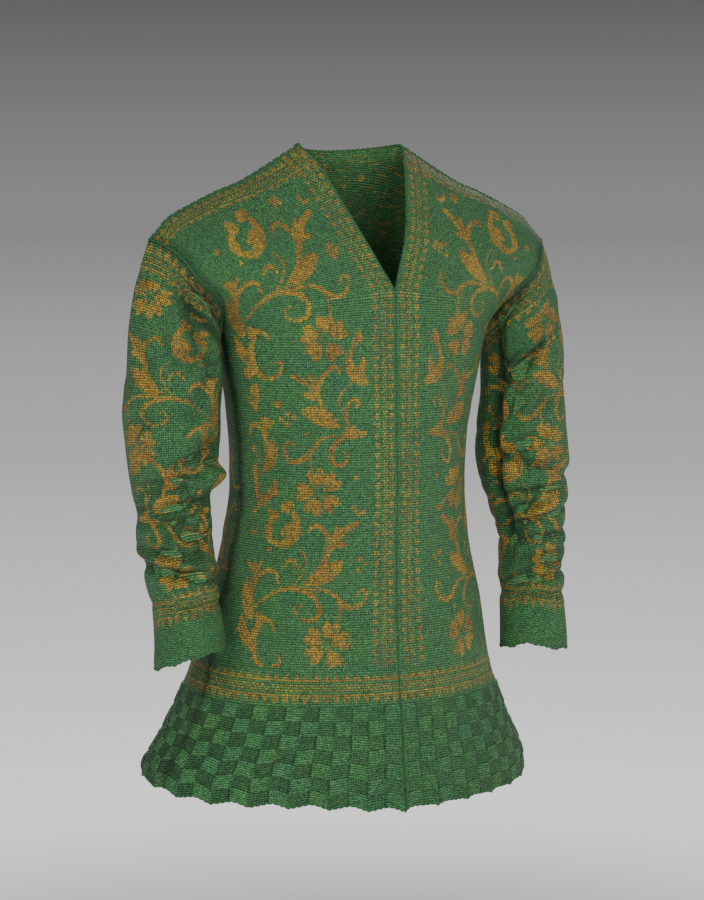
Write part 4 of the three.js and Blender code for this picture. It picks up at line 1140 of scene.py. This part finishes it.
# Puts a camera or a lamp at its place and turns it to the jacket.
def standAt(thing, place):
    thing.location = Vector(place) * mm
    toJacket = Vector(studio["aim"]) * mm - thing.location
    thing.rotation_euler = toJacket.to_track_quat("-Z", "Y").to_euler()


def makeCameraAndLamps():
    data = bpy.data.cameras.new("view")
    data.lens = studio["lens"]
    data.clip_start, data.clip_end = studio["clip"]
    camera = addObject("view", data)
    turn, reach = math.radians(studio["azimuth"]), studio["distance"]
    standAt(camera, (math.sin(turn) * reach, -math.cos(turn) * reach, studio["eye"]))
    bpy.context.scene.camera = camera
    for name, place, size, watts in studio["lamps"]:
        lamp = bpy.data.lights.new(name, "AREA")
        lamp.size, lamp.energy = size * mm, watts
        standAt(addObject(name, lamp), place)


def makeAirAndFloor():
    world = bpy.data.worlds.new("studio_air")
    world.use_nodes = True
    tree = world.node_tree
    tree.nodes.clear()
    way = addNode(tree, "TexCoord").outputs["Generated"]
    level = addNode(tree, "SeparateXYZ", way).outputs[2]
    level = addNode(tree, "Math", level, 0.5, 0.5, operation="MULTIPLY_ADD")
    greys = addNode(tree, "ValToRGB", level, stops=studio["airGreys"])
    addNode(tree, "OutputWorld", addNode(tree, "Background", greys))
    bpy.context.scene.world = world
    half = studio["floorSize"] / 2 * mm
    corners = [(-half, -half, 0), (half, -half, 0), (half, half, 0), (-half, half, 0)]
    mesh = bpy.data.meshes.new("floor")
    mesh.from_pydata(corners, [], [(0, 1, 2, 3)])
    mesh.materials.append(paperWithPaintedGlow())
    floor = addObject("floor", mesh)
    floor.location.z = studio["floor"] * mm


makeCameraAndLamps()
makeAirAndFloor()
print("camera and light are set")

made = {}
made["front_right"] = makePanel("front_right", -1, False, frontMotifs[-1])
made["front_left"] = makePanel("front_left", 1, False, frontMotifs[1])
made["back"] = makePanel("back", 0, True, backMotifs)
made["sleeve_right"] = makeSleeve("sleeve_right", -1)
made["sleeve_left"] = makeSleeve("sleeve_left", 1)
print("the five knitted pieces are made")

trims = {name: [] for name in made}
for name in ("front_right", "front_left"):
    _, grid, normal = made[name]
    edge = grid[:, 0] * (1 - plaits["inset"]) + grid[:, 1] * plaits["inset"]
    trims[name].append(makePlait(name, "selvedge", edge, normal[:, 0]))
    trims[name].append(makePlait(name, "hem_edge", grid[0], normal[0]))
    trims[name].append(makePlait(name, "shoulder_seam", grid[-1], normal[-1]))
_, grid, normal = made["back"]
trims["back"].append(makePlait("back", "hem_edge", grid[0], normal[0]))
middle = grid.shape[1] // 2
neckColumns = round(middle * panelForm["backNeckShare"])
neck = slice(middle - neckColumns, middle + neckColumns + 1)
trims["back"].append(makePlait("back", "neck_edge", grid[-1, neck], normal[-1, neck]))
for name in ("sleeve_right", "sleeve_left"):
    _, grid, normal = made[name]
    ring = np.arange(grid.shape[1] + 1) % grid.shape[1]      # once round and back to the first
    trims[name].append(makePlait(name, "cuff_edge", grid[0, ring], normal[0, ring]))
    sunk = plaits["armholeSunk"]
    trims[name].append(makePlait(name, "armhole_seam", grid[-1, ring], normal[-1, ring], sunk))
print("edges and seams are made")
